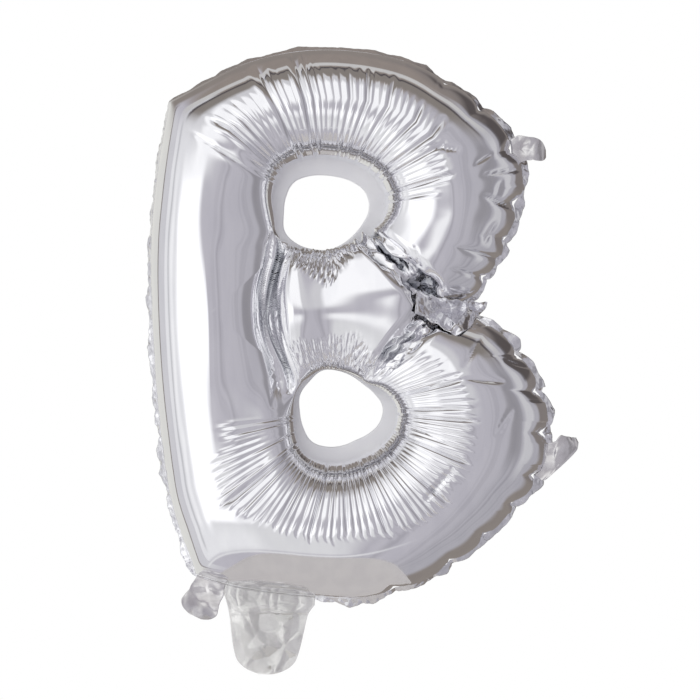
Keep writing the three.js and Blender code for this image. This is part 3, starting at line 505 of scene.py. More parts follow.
    def grooved(self, height):
        """The height with the groove beside the stem pressed in."""
        x, z = self.plan.T
        whole = faded(z, *GROOVE_ENDS)
        even = faded(z, *TUBE_ENDS) * (1 - smoothstep(*TUBE_FADE, x))
        is_stem = self.place[: self.n_outer] < CORNER
        tops = [v[: self.n_outer][is_stem] for v in (z, x, height)]
        crest_x, crest_height = np.interp(z, tops[0], tops[1]), np.interp(z, tops[0], tops[2])
        evened = height * (1 + (TUBE_HEIGHT / crest_height - 1) * even)
        across = np.clip((x - crest_x) / (TUBE_EDGE - crest_x), 0, 1)
        tube = np.maximum(GROOVE_FLOOR, TUBE_HEIGHT * np.sqrt(1 - across**2))
        risen = 1 - (1 - np.clip((x - GROOVE_X) / GROOVE_REACH, 0, 1)) ** GROOVE_ROUNDNESS
        bar = GROOVE_FLOOR + (height - GROOVE_FLOOR) * risen
        pressed = np.minimum(evened, np.where(x < GROOVE_X, tube, bar))
        return np.where(x > crest_x, evened + (pressed - evened) * whole, evened)


letter = Letter()


def nearest_edge(place):
    """Number of the column on the pleat edge nearest to a place."""
    is_edge = (letter.pleat[: letter.n_outer] >= 0) & (letter.across[: letter.n_outer] == 0)
    gap = np.abs(letter.place[: letter.n_outer] - place)
    return np.argmin(np.where(is_edge, gap, 99))


def pleats(salt):
    """Rounded ridges between sharp grooves, each of its own length and depth."""
    place, reach = letter.place[letter.column], letter.reach
    pleat, across = letter.pleat[letter.column], letter.across[letter.column]
    is_pleat = (pleat >= 0) & (place < ON_BAR)
    place = np.where(place < ON_BAR, place, 0)
    at, ends, depths = zip(*PLEATS)
    end = np.interp(place, at, ends) - 0.07 + 0.11 * chance(pleat, salt + 2)
    start = 0.06 + 0.1 * chance(pleat, salt + 3) + np.interp(place, *LATE_PLEATS)
    own_depth = 0.55 + 0.7 * chance(pleat, salt + 1)
    first, last = CALM_SPAN
    calm = (place > first) & (place < last) & (chance(pleat // 3, salt + 4) < CALM_SHARE)
    own_depth = np.where(calm, CALM_DEPTH * own_depth, own_depth)
    ridge = np.abs(np.sin(math.pi * across)) ** 0.75
    rise = smoothstep(start - 0.06, start + 0.12, reach) * (0.2 + 0.8 * np.clip(reach, 0, 1) ** 1.3)
    fade = rise * (1 - smoothstep(end - 0.07, end + 0.02, reach))
    depth = np.interp(place, at, depths)
    return np.where(is_pleat, (ridge - 0.62) * 2 * depth * own_depth * fade, 0)


def creases():
    """Single creases that run out from the holes, and darts that run in from the outer weld."""
    reach = letter.reach
    crest = letter.plan[: letter.n_outer]
    length = np.zeros(letter.n_crest)  # along the crest
    length[1 : letter.n_outer] = np.cumsum(np.hypot(*np.diff(crest, axis=0).T))
    total = length[letter.n_outer - 1] + np.hypot(*(crest[0] - crest[-1]))
    own = length[letter.column]

    def gap_to(at):
        """Distance along the crest from the pleat edge nearest to a place."""
        return np.abs((own - length[nearest_edge(at)] + total / 2) % total - total / 2)

    relief = np.zeros(len(own))
    for at, deep, width, first, last in CREASES:
        away = gap_to(at)
        shape = np.exp(-away / width) - 0.35 * np.exp(-(((away - 2.6 * width) / width) ** 2))
        relief -= deep * shape * faded(reach, first, first + 0.12, last - 0.22, last)
    for at, deep, last in DARTS:
        away = gap_to(at)
        along = smoothstep(last, 1.95, reach) * (reach > 1)
        relief -= deep * (np.exp(-away / 2.2) - 0.25) * along * (away < 20)
    return np.where(letter.place[letter.column] < ON_BAR, relief, 0)


def crumples(seed):
    """Upright folds, crumpled zones, straight folds, streaks and broad ridges, placed in x and z."""
    x, z = letter.plan.T
    reach = letter.reach
    relief = np.zeros(len(x))
    for x0, z0, z1, deep, width in UPRIGHTS:
        middle = x0 + 0.8 * np.sin(z * 0.11 + x0)
        along = np.clip((z - z0) * (z1 - z) * 4 / (z1 - z0) ** 2, 0, 1) ** 0.6
        relief -= deep * np.exp(-np.abs(x - middle) / width) * along
    flat = np.insert(letter.plan, 1, seed * 3.7, 1)
    for k, (x0, z0, x1, z1, wide, deep, size, longer) in enumerate(CRUMPLES):
        away, _ = segment_distance(x, z, x0, z0, x1, z1)
        inside = (1 - smoothstep(wide * 0.45, wide, away)) * smoothstep(0.02, 0.15, reach)
        run = math.hypot(x1 - x0, z1 - z0)
        ahead, aside = (x1 - x0) / run, (z1 - z0) / run
        stretched = flat.copy()
        stretched[:, 0] = (x * ahead + z * aside) / longer
        stretched[:, 2] = -x * aside + z * ahead
        rough = creased(stretched, size, seed * 31 + k)
        rough += 0.3 * creased(stretched, size / 2, seed + k)
        relief += deep * inside * (rough - 0.3)
    for x0, z0, x1, z1, deep, width in FOLDS:
        away, near = segment_distance(x, z, x0, z0, x1, z1)
        relief -= deep * np.exp(-away / width) * (0.1 + 3.6 * near * (1 - near))
    streaks = np.insert(letter.plan, 1, seed * 5.1, 1) / (1, 1, 14)
    narrow, broad = smooth_noise(streaks, 4.5, seed + 60), smooth_noise(streaks, 9, seed + 61)
    relief += faded(x, *STREAKS_X) * faded(z, *STREAKS_Z) * (0.1 * narrow + 0.14 * broad)
    streaks[:, 2] = z / 40
    bundle = faded(x, *BUNDLE_X) * faded(z, *BUNDLE_Z)
    relief += bundle * BUNDLE_DEPTH * creased(streaks, 4, seed + 62)
    for x0, z0, x1, z1, high, width in RIDGES:
        away, _ = segment_distance(x, z, x0, z0, x1, z1)
        relief += high * np.exp(-((away / width) ** 2))
    uneven = smooth_noise(flat, 38, seed + 90) * 0.16 + smooth_noise(flat, 17, seed + 91) * 0.06
    return relief + uneven * smoothstep(0, 0.3, reach) * (1 - smoothstep(1.7, 2, reach))


def new_object(name, data):
    obj = bpy.data.objects.new(name, data)
    bpy.context.scene.collection.objects.link(obj)
    return obj


def make_piece(name, points, faces, material, slot, *nodes):
    """A smooth mesh from points in millimetres, which stands for CAD nodes."""
    mesh = bpy.data.meshes.new(name)
    faces = faces[(faces != np.roll(faces, 1, 1)).all(1)]
    mesh.vertices.add(len(points))
    mesh.vertices.foreach_set("co", (points * MM).astype(np.float32).ravel())
    mesh.loops.add(3 * len(faces))
    mesh.loops.foreach_set("vertex_index", faces.astype(np.int32).ravel())
    mesh.polygons.add(len(faces))
    mesh.polygons.foreach_set("loop_start", np.arange(0, 3 * len(faces), 3, dtype=np.int32))
    mesh.polygons.foreach_set("loop_total", np.full(len(faces), 3, dtype=np.int32))
    mesh.polygons.foreach_set("use_smooth", np.ones(len(faces), bool))
    mesh.update(calc_edges=True)
    mesh.validate()
    mesh.materials.append(material)
    obj = new_object(name, mesh)
    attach(obj, "root")
    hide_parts(*nodes)
    return obj


def film(rows, thickness, closed):
    """Points and triangles of a thin closed shell over a grid of points, rows by columns."""
    n_rows, n_columns = rows.shape[:2]
    points = rows.reshape(-1, 3)
    grid = np.arange(len(points)).reshape(n_rows, n_columns)
    if closed:
        faces = band_faces(grid, False)
    else:
        a, b = grid[:-1, :-1].ravel(), grid[:-1, 1:].ravel()
        c, d = grid[1:, 1:].ravel(), grid[1:, :-1].ravel()
        faces = np.vstack([np.stack([a, b, c], 1), np.stack([a, c, d], 1)])
    offset = vertex_normals(points, faces) * thickness / 2
    n = len(points)
    shell = [faces, faces[:, ::-1] + n]
    rims = [grid[0], grid[-1][::-1]]
    if not closed:
        rims = [np.concatenate([grid[0], grid[1:, -1], grid[-1, :-1][::-1], grid[1:-1, 0][::-1]])]
    for rim in rims:
        after = np.roll(rim, -1)
        shell.append(np.stack([after, rim, rim + n], 1))
        shell.append(np.stack([after, rim + n, after + n], 1))
    return np.vstack([points + offset, points - offset]), np.vstack(shell)


# Materials

BUMP_DEPTH = 0.0004


class Nodes:
    """Short ways to make linked shader nodes."""

    def __init__(self, tree):
        self.tree = tree

    def add(self, kind, **settings):
        node = self.tree.nodes.new(kind)
        for key, value in settings.items():
            setattr(node, key, value)
        return node

    def put(self, socket, value):
        if isinstance(value, bpy.types.NodeSocket):
            self.tree.links.new(value, socket)
        else:
            socket.default_value = value

    def feed(self, node, **inputs):
        """Link or set a node's inputs by name, with _ for a space."""
        for key, value in inputs.items():
            self.put(node.inputs[key.replace("_", " ")], value)
        return node

    def math(self, operation, *values, clamp=False):
        node = self.add("ShaderNodeMath", operation=operation, use_clamp=clamp)
        for socket, value in zip(node.inputs, values):
            self.put(socket, value)
        return node.outputs[0]

    def smooth(self, value, low, high):
        node = self.add("ShaderNodeMapRange", interpolation_type="SMOOTHSTEP")
        return self.feed(node, Value=value, From_Min=low, From_Max=high).outputs[0]

    def dot(self, vector, axis):
        node = self.add("ShaderNodeVectorMath", operation="DOT_PRODUCT")
        self.put(node.inputs[0], vector)
        self.put(node.inputs[1], axis)
        return node.outputs["Value"]

    def mix(self, factor, a, b):
        node = self.add("ShaderNodeMix", data_type="RGBA")
        self.put(node.inputs[0], factor)
        self.put(node.inputs[6], a)
        self.put(node.inputs[7], b)
        return node.outputs[2]


def principled(name, **inputs):
    material = bpy.data.materials.new(name)
    material.use_nodes = True
    nodes = Nodes(material.node_tree)
    shader = nodes.feed(material.node_tree.nodes["Principled BSDF"], **inputs)
    return material, shader, nodes


def film_bump(nodes, shader, scale, strength, detail, stretch=(1, 1, 1)):
    """A fine bump over the film, and its grain for other uses."""
    place = nodes.add("ShaderNodeTexCoord").outputs["Object"]
    mapping = nodes.feed(nodes.add("ShaderNodeMapping"), Vector=place, Scale=stretch)
    noise = nodes.add("ShaderNodeTexNoise")
    grain = nodes.feed(noise, Vector=mapping.outputs[0], Scale=scale, Detail=detail).outputs[0]
    bump = nodes.add("ShaderNodeBump")
    nodes.feed(bump, Strength=strength, Distance=BUMP_DEPTH, Height=grain)
    nodes.put(shader.inputs["Normal"], bump.outputs[0])
    return grain


def metal_film(name, bump, edges, tones, roughness, metallic=1.0, painted_fold_shade=None):
    """Metallised film. The grain of its bump shifts the tone and the roughness between two values.
    Given a shade colour, deep folds get painted shade in the base colour.
    """
    material, shader, nodes = principled(name, Metallic=metallic)
    grain = film_bump(nodes, shader, *bump)
    tone = nodes.mix(nodes.smooth(grain, *edges), *((*tone, 1) for tone in tones))
    if painted_fold_shade:
        # Painted shade: the base colour darkens towards the shade colour in deep folds, by the mesh's
        # fold attribute
        fold = nodes.add("ShaderNodeAttribute", attribute_name="fold").outputs["Fac"]
        tone = nodes.mix(fold, tone, (*painted_fold_shade, 1))
    nodes.put(shader.inputs["Base Color"], tone)
    low, high = roughness
    if low == high:
        nodes.feed(shader, Roughness=low)
    else:
        spread = nodes.feed(nodes.add("ShaderNodeMapRange"), Value=grain, To_Min=low, To_Max=high)
        nodes.feed(shader, Roughness=spread.outputs[0])
    return material


def neck_material(name, base, metal, alpha):
    """See-through film with a thin and patchy layer of metal."""
    material, shader, nodes = principled(name, Alpha=alpha, Specular_IOR_Level=0.9, Roughness=0.22)
    grain = film_bump(nodes, shader, 60, 0.12, 2.0)
    place = nodes.add("ShaderNodeTexCoord").outputs["Object"]
    patch = nodes.feed(nodes.add("ShaderNodeTexNoise"), Vector=place, Scale=38).outputs[0]
    share = nodes.math("MULTIPLY", nodes.smooth(patch, 0.42, 0.58), 0.4)
    share = nodes.math("ADD", share, 0.6)
    cool = tuple(0.9 * c for c in base[:3]) + (1,)
    tone = nodes.mix(nodes.smooth(grain, 0.35, 0.65), cool, base)
    nodes.feed(shader, Metallic=nodes.math("MULTIPLY", share, metal), Base_Color=tone)
    return material


# The foil's colour darkens to a painted shade of grey in deep folds
foil = metal_film(
    "foil_film", (110, 0.05, 2.0, (1, 1, 0.25)), (0.35, 0.65),
    ((0.86, 0.86, 0.885), (0.9, 0.9, 0.92)), (0.045, 0.085), painted_fold_shade=(0.42, 0.43, 0.46),
)
weld_foil = metal_film(
    "weld_film", (60, 0.01, 1.0), (0.3, 0.7),
    ((0.93, 0.93, 0.95), (0.97, 0.97, 0.98)), (0.4, 0.46), metallic=0.5,
)
margin_foil = metal_film(
    "margin_film", (260, 0.06, 2.0), (0.3, 0.7),
    ((0.78, 0.78, 0.81), (0.9, 0.9, 0.92)), (0.08, 0.18),
)
tab_foil = metal_film(
    "tab_film", (120, 0.04, 2.0), (0.3, 0.7),
    ((0.68, 0.66, 0.66), (0.80, 0.79, 0.79)), (0.2, 0.2),
)
neck_foil = neck_material("neck_film", (0.98, 0.975, 0.96, 1), 0.85, 0.42)
valve_film = neck_material("valve_film", (0.95, 0.93, 0.86, 1), 0.1, 0.2)


# Pieces


def panel(node, side, seed, salt):
    """One film, inflated. Its attribute "fold" says how deep each point lies in a fold, which its
    material turns into painted shade.
    """
    points = np.insert(letter.plan + letter.bulge, 1, side * (RIM + letter.height), 1)
    faces = letter.faces
    normals = vertex_normals(points, faces)
    if normals[: letter.n_crest, 1].mean() * side < 0:
        faces, normals = faces[:, ::-1], -normals
    relief = pleats(salt) + creases() + crumples(seed)
    points = points + normals * relief[:, None]
    points[:, 1] = side * np.maximum(side * points[:, 1], RIM)
    obj = make_piece(node + "_film", points, faces, foil, "foil", node)
    # How deep each point lies in a fold, for the painted shade in the film's colour
    fold = obj.data.attributes.new("fold", "FLOAT", "POINT")
    fold.data.foreach_set("value", smoothstep(*FOLD_SHADE_DEPTHS, -relief).astype(np.float32))


def waist_flap():
    """The margin's fold that lies crumpled over the lower bowl beside the waist."""
    along = np.linspace(0, 3, FLAP_COLUMNS)
    upper, lower = (spline_read(edge, along) for edge in WAIST_FLAP)
    jag = 2.2 * np.abs((along * 1.9) % 1 - 0.5) * (along > 0.15)
    share = np.linspace(0, 1, FLAP_ROWS)[:, None]
    x, z = (upper[:, k] * (1 - share) + lower[:, k] * share for k in (0, 1))
    z = z + jag * (share - 0.5) * 2
    near = (np.abs(letter.plan - FLAP_MIDDLE) < FLAP_HALF).all(1)
    px, pz = letter.plan[near].T
    height = np.zeros(x.shape)
    for row in range(FLAP_ROWS):
        away = np.hypot(x[row][:, None] - px, z[row][:, None] - pz)
        height[row] = np.max(np.where(away < 6, letter.height[near] * (1 - (away / 9) ** 2), 0), 1)
    for _ in range(12):
        wide = np.pad(height, 1, mode="edge")
        height = (wide[:-2, 1:-1] + wide[2:, 1:-1] + wide[1:-1, :-2] + wide[1:-1, 2:] + height) / 5
    flat = np.stack([x, np.zeros_like(x), z], -1).reshape(-1, 3)
    rough = (creased(flat, 10, 31) + 0.12 * creased(flat, 5, 32)).reshape(x.shape)
    y = -(height + FLAP_CLEARANCE + FLAP_ROUGHNESS * (rough + 0.6))
    return film(np.stack([x, y, z], -1), MARGIN_FILM, False)


def outer_margin():
    """The margin outside the outer weld line: flat facets between folds that run out to corners."""
    place = letter.place[: letter.n_outer]
    length = np.concatenate([[0], np.cumsum(np.hypot(*np.diff(letter.weld, axis=0).T))])
    total = length[-1] + np.hypot(*(letter.weld[0] - letter.weld[-1]))
    rng = np.random.RandomState(12)

    def zigzag(spacing, low, high):
        """Straight from knot to knot round the letter, high and low in turn."""
        count = 2 * round(total / spacing / 2)
        knots = (np.arange(count) + rng.uniform(-0.25, 0.25, count)) / count * total
        values = np.where(np.arange(count) % 2, low, high) * rng.uniform(0.6, 1.2, count)
        knots = np.concatenate([[knots[-1] - total], knots, [knots[0] + total]])
        return np.interp(length, knots, np.concatenate([[values[-1]], values, [values[0]]]))

    at, small, large, back = zip(*MARGIN_STYLE)
    small, large, back = (np.interp(place, at, values) for values in (small, large, back))
    corners, gathers, sheets = zigzag(8, 0.66, 1.02), zigzag(2.6, -1, 1), zigzag(9, -1, 1)
    scallop = np.abs(np.sin(math.pi * length / 31 + 0.6 * np.sin(length / 40))) ** 0.5
    width = letter.margin * corners * (1 - 0.45 * np.interp(place, *SCALLOPS) * (1 - scallop))
    width *= np.interp(place, *MARGIN_WIDTHS)
    width *= 1 + 0.12 * smoothstep(10, 40, back)
    fold = letter.fold + np.radians(back)
    rows = []
    for share in np.linspace(0, 1, MARGIN_ROWS + 1):
        out = 0.3 + (width - 0.3) * share
        probe = np.insert(letter.weld + letter.out * out[:, None], 1, 0, 1)
        wave = share * (0.75 * small * gathers + 1.3 * large * sheets)
        wave += share**0.5 * small * 0.5 * creased(probe, 4.5, 19)
        reach = out * np.cos(fold) - wave * np.sin(fold) * 0.6
        lift = out * np.sin(fold) + wave * np.cos(fold)
        plan = letter.weld + letter.out * reach[:, None]
        rows.append(np.insert(plan, 1, lift, 1))
    points, faces = film(np.array(rows), MARGIN_FILM, True)
    flap_points, flap_faces = waist_flap()
    faces = np.vstack([faces, flap_faces + len(points)])
    points = np.vstack([points, flap_points])
    make_piece("outer_margin_film", points, faces, margin_foil, "weld_foil", "outer_weld")


def counter_ring(name, seed):
    """The satin margin inside one hole."""
    x, z = COUNTERS[name][:2]
    angle, radius = letter.rings[name]
    order = np.argsort(angle)
    angle, radius = angle[order], radius[order]
    rows = []
    for share in np.arange(MARGIN_ROWS + 1) / MARGIN_ROWS:
        r = radius + (COUNTER_WELD + 1.2) * (1 - share)
        probe = np.stack([x + r * np.cos(angle), np.zeros(len(angle)), z + r * np.sin(angle)], 1)
        lift = 0.7 * smooth_noise(probe, 17, seed) * share
        probe[:, 1] = np.clip(lift, -0.8, 0.8) * smoothstep(0, 0.3, share)
        rows.append(probe)
    points, faces = film(np.array(rows), RING_FILM, True)
    name += "_counter"
    make_piece(name + "_film", points, faces, weld_foil, "weld_foil", name + "_weld")


# Tabs and the neck leave the margin between two places along BOWLS. Columns: from, to, heading,
# where the rows are square to it, flat length, curl, and the profile of distance out and width.
TABS = {
    "tab_upper_right": (
        5.25, 5.75, -2, 8, 5, 60,
        [(0, 1), (4, 0.8), (8, 0.78), (12, 0.7), (15, 0.5), (17, 0.25)],
    ),
    "tab_lower_right": (
        14.25, 15, 24, 20, 7, 50,
        [(0, 1), (5, 0.82), (10, 0.66), (15, 0.52), (20, 0.36), (24, 0.14)],
    ),
    "tab_lower_left": (
        21.25, 22, -118, 8, 7, -45,
        [(0, 1), (5, 0.86), (10, 0.94), (14, 0.98), (18, 0.75), (20.5, 0.35)],
    ),
}
# How far each tab's end sways to its left, and how much wider its film is than its solid
TAB_SWAY = {"tab_upper_right": -3.5, "tab_lower_right": 3.0, "tab_lower_left": 0}
TAB_FULLNESS = {"tab_upper_right": 1.25, "tab_lower_right": 1.5, "tab_lower_left": 1.25}
NECK_PROFILE = [
    (0, 1), (6, 0.9), (12, 0.84), (24, 0.77), (33.5, 0.7), (39.5, 0.61), (44, 0.42), (46.5, 0.18),
]


def tongue_grid(first, last, heading, square_after, flat, curl, profile, n_rows, n_columns, sway=0):
    """Middle surface of a tongue of film: rows out from the margin, columns across."""
    places = np.linspace(first, last, n_columns) + CORNER
    edge = letter.weld + letter.out * (letter.margin * 0.85)[:, None]
    around = letter.place[: letter.n_outer]
    root = np.stack([np.interp(places, around, edge[:, k]) for k in (0, 1)], 1)
    heading = math.radians(heading)
    ahead = np.array([math.cos(heading), math.sin(heading)])
    left = np.array([-ahead[1], ahead[0]])
    middle = (root[0] + root[-1]) / 2
    side = root - middle
    length = profile[-1][0]
    bend_over = max(1, length - flat)
    rows = []
    for along, share in spline_read(profile, np.linspace(0, len(profile) - 1, n_rows)):
        bent = max(0, along - flat)
        turn = math.radians(curl) * bent / bend_over
        reach = along - bent + (bent * math.sin(turn) / turn if abs(turn) > 1e-6 else bent)
        lift = bent * (1 - math.cos(turn)) / turn if abs(turn) > 1e-6 else 0
        straight = min(1, along / square_after)
        forward = side @ ahead * (1 - straight) + reach
        even = np.linspace(side[0] @ left, side[-1] @ left, n_columns)
        across = (even * straight + side @ left * (1 - straight)) * share
        plan = middle + forward[:, None] * ahead + across[:, None] * left
        plan = plan + left * sway * (along / length) ** 2
        rows.append(np.insert(plan, 1, lift, 1))
    seam = np.stack([np.interp(places, around, letter.weld[:, k]) for k in (0, 1)], 1)
    seam = np.insert(seam, 1, 0, 1)
    first_rows = [seam + (rows[0] - seam) * share for share in (0.08, 0.3, 0.52, 0.75)]
    return np.array(first_rows + rows)


def tab(name, seed):
    """A curled tab of crumpled film."""
    rows = tongue_grid(*TABS[name], TAB_ROWS, TAB_COLUMNS, TAB_SWAY[name])
    shape = rows.shape
    middle = rows.mean(1, keepdims=True)
    along = np.linspace(0, 1, shape[0])[:, None, None]
    rows = middle + (rows - middle) * (1 + (TAB_FULLNESS[name] - 1) * smoothstep(0, 0.25, along))
    points = rows.reshape(-1, 3)
    along = np.repeat(along.ravel(), shape[1])
    rough = 1.1 * smooth_noise(points, 9, seed) + 0.45 * creased(points, 11, seed + 1)
    points[:, 1] += rough * (0.35 + 0.65 * smoothstep(0, 0.15, along))
    made, faces = film(points.reshape(shape), MARGIN_FILM, False)
    make_piece(name + "_film", made, faces, tab_foil, "weld_foil", name)


def neck(name, node, side, seed, material, slot, first=19.75, last=21.25, puff=1.6):
    """A film of the filler neck: gathered at its root, folded across, and crumpled below."""
    rows = tongue_grid(first, last, -96, 8, 99, 0, NECK_PROFILE, NECK_ROWS, NECK_COLUMNS)
    n_rows, n_columns = rows.shape[:2]
    u = np.tile(np.linspace(-1, 1, n_columns), n_rows)
    v = np.repeat(np.linspace(0, 1, n_rows), n_columns)
    points = rows.reshape(-1, 3)
    gather = np.abs(np.sin(u * 11 + 2 * smooth_noise(points, 12, seed))) ** 0.6
    bulge = puff * (1 - u**4) * smoothstep(0, 0.2, v)
    crease = np.exp(-np.abs(u * 0.8 + (v - 0.62) * 1.5) * 14)
    fold = np.exp(-(((v - 0.24 - 0.04 * u) / 0.02) ** 2))
    rough = creased(points * (1, 1, 0.8), 21, seed + 2) * 4.2 + 0.15 * creased(points, 8, seed + 3)
    lift = bulge + 0.9 * gather * (1 - smoothstep(0.05, 0.33, v)) - 1.2 * crease + 0.7 * fold
    lift += rough * smoothstep(0.05, 0.3, v)
    points[:, 1] += side * np.maximum(0.15, 0.4 + lift * (1 - 0.85 * np.abs(u) ** 6))
    made, faces = film(points.reshape(rows.shape), NECK_FILM, False)
    make_piece(name, made, faces, material, slot, node)


panel("front_panel", -1, 3, 0)
panel("back_panel", 1, 11, 5)
outer_margin()
counter_ring("upper", 40)
counter_ring("lower", 50)
for index, tab_name in enumerate(TABS):
    tab(tab_name, 60 + index)
neck("neck_front_skin", "neck_front_film", -1, 70, neck_foil, "neck_film")
neck("neck_back_skin", "neck_back_film", 1, 80, neck_foil, "neck_film")
neck("valve_sleeve_film", "valve_sleeve", 1, 90, valve_film, "valve_plastic", 20.0, 21.0, 0.1)


# Stage, light and camera


# Painted patches. Columns: colour, azimuth from and to and the softness of its two edges, height
# the same way, and strength if it isn't whole. Azimuth runs to the right from the camera's side.
SIDE_PATCHES = [
    ((0.29, 0.28, 0.30), (60, 76, 4, 4), (-24, 34, 10, 10), 0.8),
    ((0.64, 0.635, 0.65), (83, 97, 3, 3), (-30, 36, 10, 10), 0.8),
]
# Behind, pale on the left with a dark edge, then the dark right, the ceiling and the upper front
ROOM_PATCHES = [
    ((0.77, 0.765, 0.73), (-166, -117, 6, 1.0), (-48, 24, 10, 12)),
    ((0.24, 0.215, 0.20), (-117.5, -115, 0.8, 0.8), (-50, 40, 10, 10)),
    ((0.66, 0.655, 0.68), (-114, -97, 1.0, 1.0), (-60, 30, 10, 12)),
    ((0.23, 0.205, 0.195), (109, 160, 3, 12), (-16, 66, 8, 14)),
    ((0.30, 0.26, 0.235), (-190, 190, 1, 1), (52, 95, 9, 1)),
    ((0.07, 0.06, 0.06), (104, 148, 3, 8), (16, 44, 4, 5), 0.8),
    ((0.66, 0.655, 0.675), (-88, 24, 10, 6), (10, 62, 8, 3)),
]
# Strips overhead: brown with a dark edge, and a light one straight above. Columns: colour, and how
# far forward they begin and end, as a cosine, and the softness of the two edges.
OVERHEAD_STRIPS = [
    ((0.25, 0.225, 0.205), (0.13, 0.42, 0.03, 0.06)),
    ((0.09, 0.08, 0.085), (0.13, 0.19, 0.02, 0.02)),
    ((0.6, 0.59, 0.58), (-0.08, 0.07, 0.02, 0.02)),
]
# The main softbox on the left in four rows, the upper front one in one, and the lower front ones,
# which the pleats catch, in four
SOFTBOXES = [
    ((0.84, 0.84, 0.855), (-96, -27, 1.2, 6), (-46, 30, 3, 16)),
    ((1.25, 1.25, 1.26), (-66, -25, 4, 5), (-24, 15, 10, 8)),
    ((0.95, 0.95, 0.96), (-80, -74, 1.5, 1.5), (-24, 15, 10, 8)),
    ((0.6, 0.6, 0.62), (-87, -83, 1, 1), (-34, 32, 6, 6)),
    ((1.05, 1.05, 1.06), (-44, 11, 5, 3), (13, 50, 6, 4)),
    ((0.74, 0.74, 0.75), (-60, 3, 4, 5), (-46, -16, 1.2, 10)),
    ((0.88, 0.88, 0.89), (-64, -20, 9, 9), (-45, -24, 5, 11)),
    ((0.98, 0.98, 0.99), (-28, 8, 9, 8), (-18, -4, 6, 5)),
    ((0.78, 0.78, 0.79), (-110, 20, 5, 15), (-50, -47.5, 0.8, 0.8)),
]


def studio_world():
    """The studio's light by direction. The camera itself sees plain white."""
    world = bpy.data.worlds.new("studio")
    bpy.context.scene.world = world
    world.use_nodes = True
    nodes = Nodes(world.node_tree)
    way = nodes.add("ShaderNodeTexCoord").outputs["Generated"]
    front, right = nodes.dot(way, (0, -1, 0)), nodes.dot(way, (1, 0, 0))
    up = nodes.dot(way, (0, 0, 1))
    turn = nodes.math("DEGREES", nodes.math("ARCTAN2", right, front))
    rise = nodes.math("DEGREES", nodes.math("ARCSINE", up))

    def window(value, low, high, soft_low, soft_high):
        begin = nodes.smooth(value, low - soft_low, low + soft_low)
        end = nodes.smooth(value, high + soft_high, high - soft_high)
        return nodes.math("MULTIPLY", begin, end)

    def painted(color, patches):
        for shade, turns, rises, *strength in patches:
            inside = nodes.math("MULTIPLY", window(turn, *turns), window(rise, *rises))
            if strength:
                inside = nodes.math("MULTIPLY", inside, *strength)
            color = nodes.mix(inside, color, (*shade, 1))
        return color

    # Lilac grey walls, dimmer to the right, with soft upright streaks
    color = nodes.mix(nodes.smooth(turn, 10, 95), (0.53, 0.515, 0.56, 1), (0.44, 0.43, 0.465, 1))
    streak = nodes.add("ShaderNodeTexNoise", noise_dimensions="1D")
    nodes.feed(streak, W=nodes.math("MULTIPLY", turn, 0.1), Scale=1.0, Detail=2.5)
    darker = nodes.math("MULTIPLY", nodes.smooth(streak.outputs[0], 0.46, 0.7), 0.42)
    darker = nodes.math("MULTIPLY", darker, window(turn, 5, 108, 8, 4))
    color = nodes.mix(darker, color, (0.25, 0.24, 0.27, 1))
    color = painted(color, SIDE_PATCHES)
    # Brown behind
    color = nodes.mix(nodes.smooth(front, -0.30, -0.5), color, (0.27, 0.24, 0.22, 1))
    color = painted(color, ROOM_PATCHES)
    above = nodes.smooth(up, 0.5, 0.75)
    for shade, span in OVERHEAD_STRIPS:
        strip = nodes.math("MULTIPLY", window(front, *span), above)
        color = nodes.mix(strip, color, (*shade, 1))
    color = painted(color, SOFTBOXES)
    seen = nodes.add("ShaderNodeLightPath").outputs["Is Camera Ray"]
    color = nodes.mix(seen, color, (1, 1, 1, 1))
    nodes.put(world.node_tree.nodes["Background"].inputs["Color"], color)


FLOOR_Z = -640
FLOOR_LIP = 4  # height of its dished edge
FLOOR_MIDDLE, FLOOR_HALF = (-80, 170), (250, 620)
FLOOR_SQUARENESS = 0.7  # 1 is an ellipse


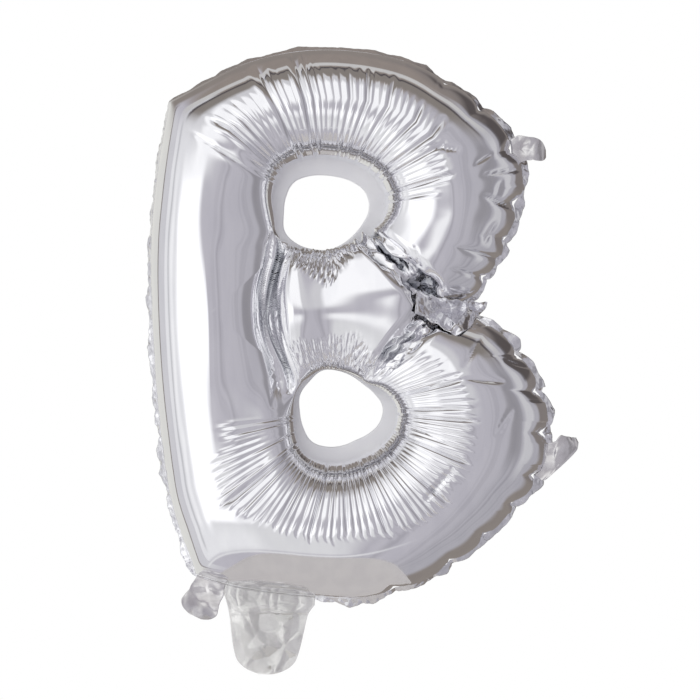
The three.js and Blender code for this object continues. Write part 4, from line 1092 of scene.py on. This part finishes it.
def floor():
    """A pale floor well below the balloon: a long strip with round ends, dished up at its edge."""
    n, rings = 96, 14
    turn = np.arange(n) / n * TURN
    wave = np.stack([np.cos(turn), np.sin(turn)], 1)
    rim = np.array(FLOOR_HALF) * np.sign(wave) * np.abs(wave) ** FLOOR_SQUARENESS
    rows = []
    for k in range(1, rings + 1):
        share = (k / rings) ** 1.2
        z = np.full((n, 1), FLOOR_Z + FLOOR_LIP * smoothstep(0.9, 1, k / rings))
        rows.append(np.hstack([FLOOR_MIDDLE + rim * share, z]))
    points = np.vstack(rows + [np.array([[*FLOOR_MIDDLE, FLOOR_Z]])])
    grid = np.arange(n * rings).reshape(rings, n)
    faces = band_faces(grid, False)
    fan = np.stack([np.full(n, n * rings), np.arange(n), np.roll(np.arange(n), -1)], 1)
    faces = np.vstack([faces[:, ::-1], fan])
    material, shader, nodes = principled(
        "floor_paint", Roughness=0.7, Emission_Color=(1, 0.98, 0.96, 1), Emission_Strength=0.14
    )
    grain = nodes.feed(nodes.add("ShaderNodeTexNoise"), Scale=3).outputs[0]
    tone = nodes.mix(grain, (0.9, 0.885, 0.87, 1), (0.95, 0.94, 0.93, 1))
    nodes.feed(shader, Base_Color=tone)
    mesh = bpy.data.meshes.new("floor")
    mesh.from_pydata((points * MM).tolist(), [], faces.tolist())
    mesh.materials.append(material)
    new_object("floor", mesh)


LEAN = math.radians(3)  # of the letter in the picture, to the right
CAMERA_PLACE = (0.00245, -1.8, -0.0125)
PICTURE_WIDTH = 0.434  # metres across the picture at the letter


def camera():
    """In front, level with the letter's middle, rolled by the letter's lean in the picture."""
    data = bpy.data.cameras.new("camera")
    obj = new_object("camera", data)
    cos, sin = math.cos(LEAN), math.sin(LEAN)
    axes = Matrix(((cos, 0, -sin), (sin, 0, cos), (0, -1, 0)))
    obj.matrix_world = Matrix.Translation(CAMERA_PLACE) @ axes.transposed().to_4x4()
    data.sensor_width = 36
    data.lens = data.sensor_width * -CAMERA_PLACE[1] / PICTURE_WIDTH
    data.clip_start, data.clip_end = 0.05, 50
    bpy.context.scene.camera = obj


studio_world()
floor()
camera()
bpy.context.scene.view_settings.view_transform = "Standard"
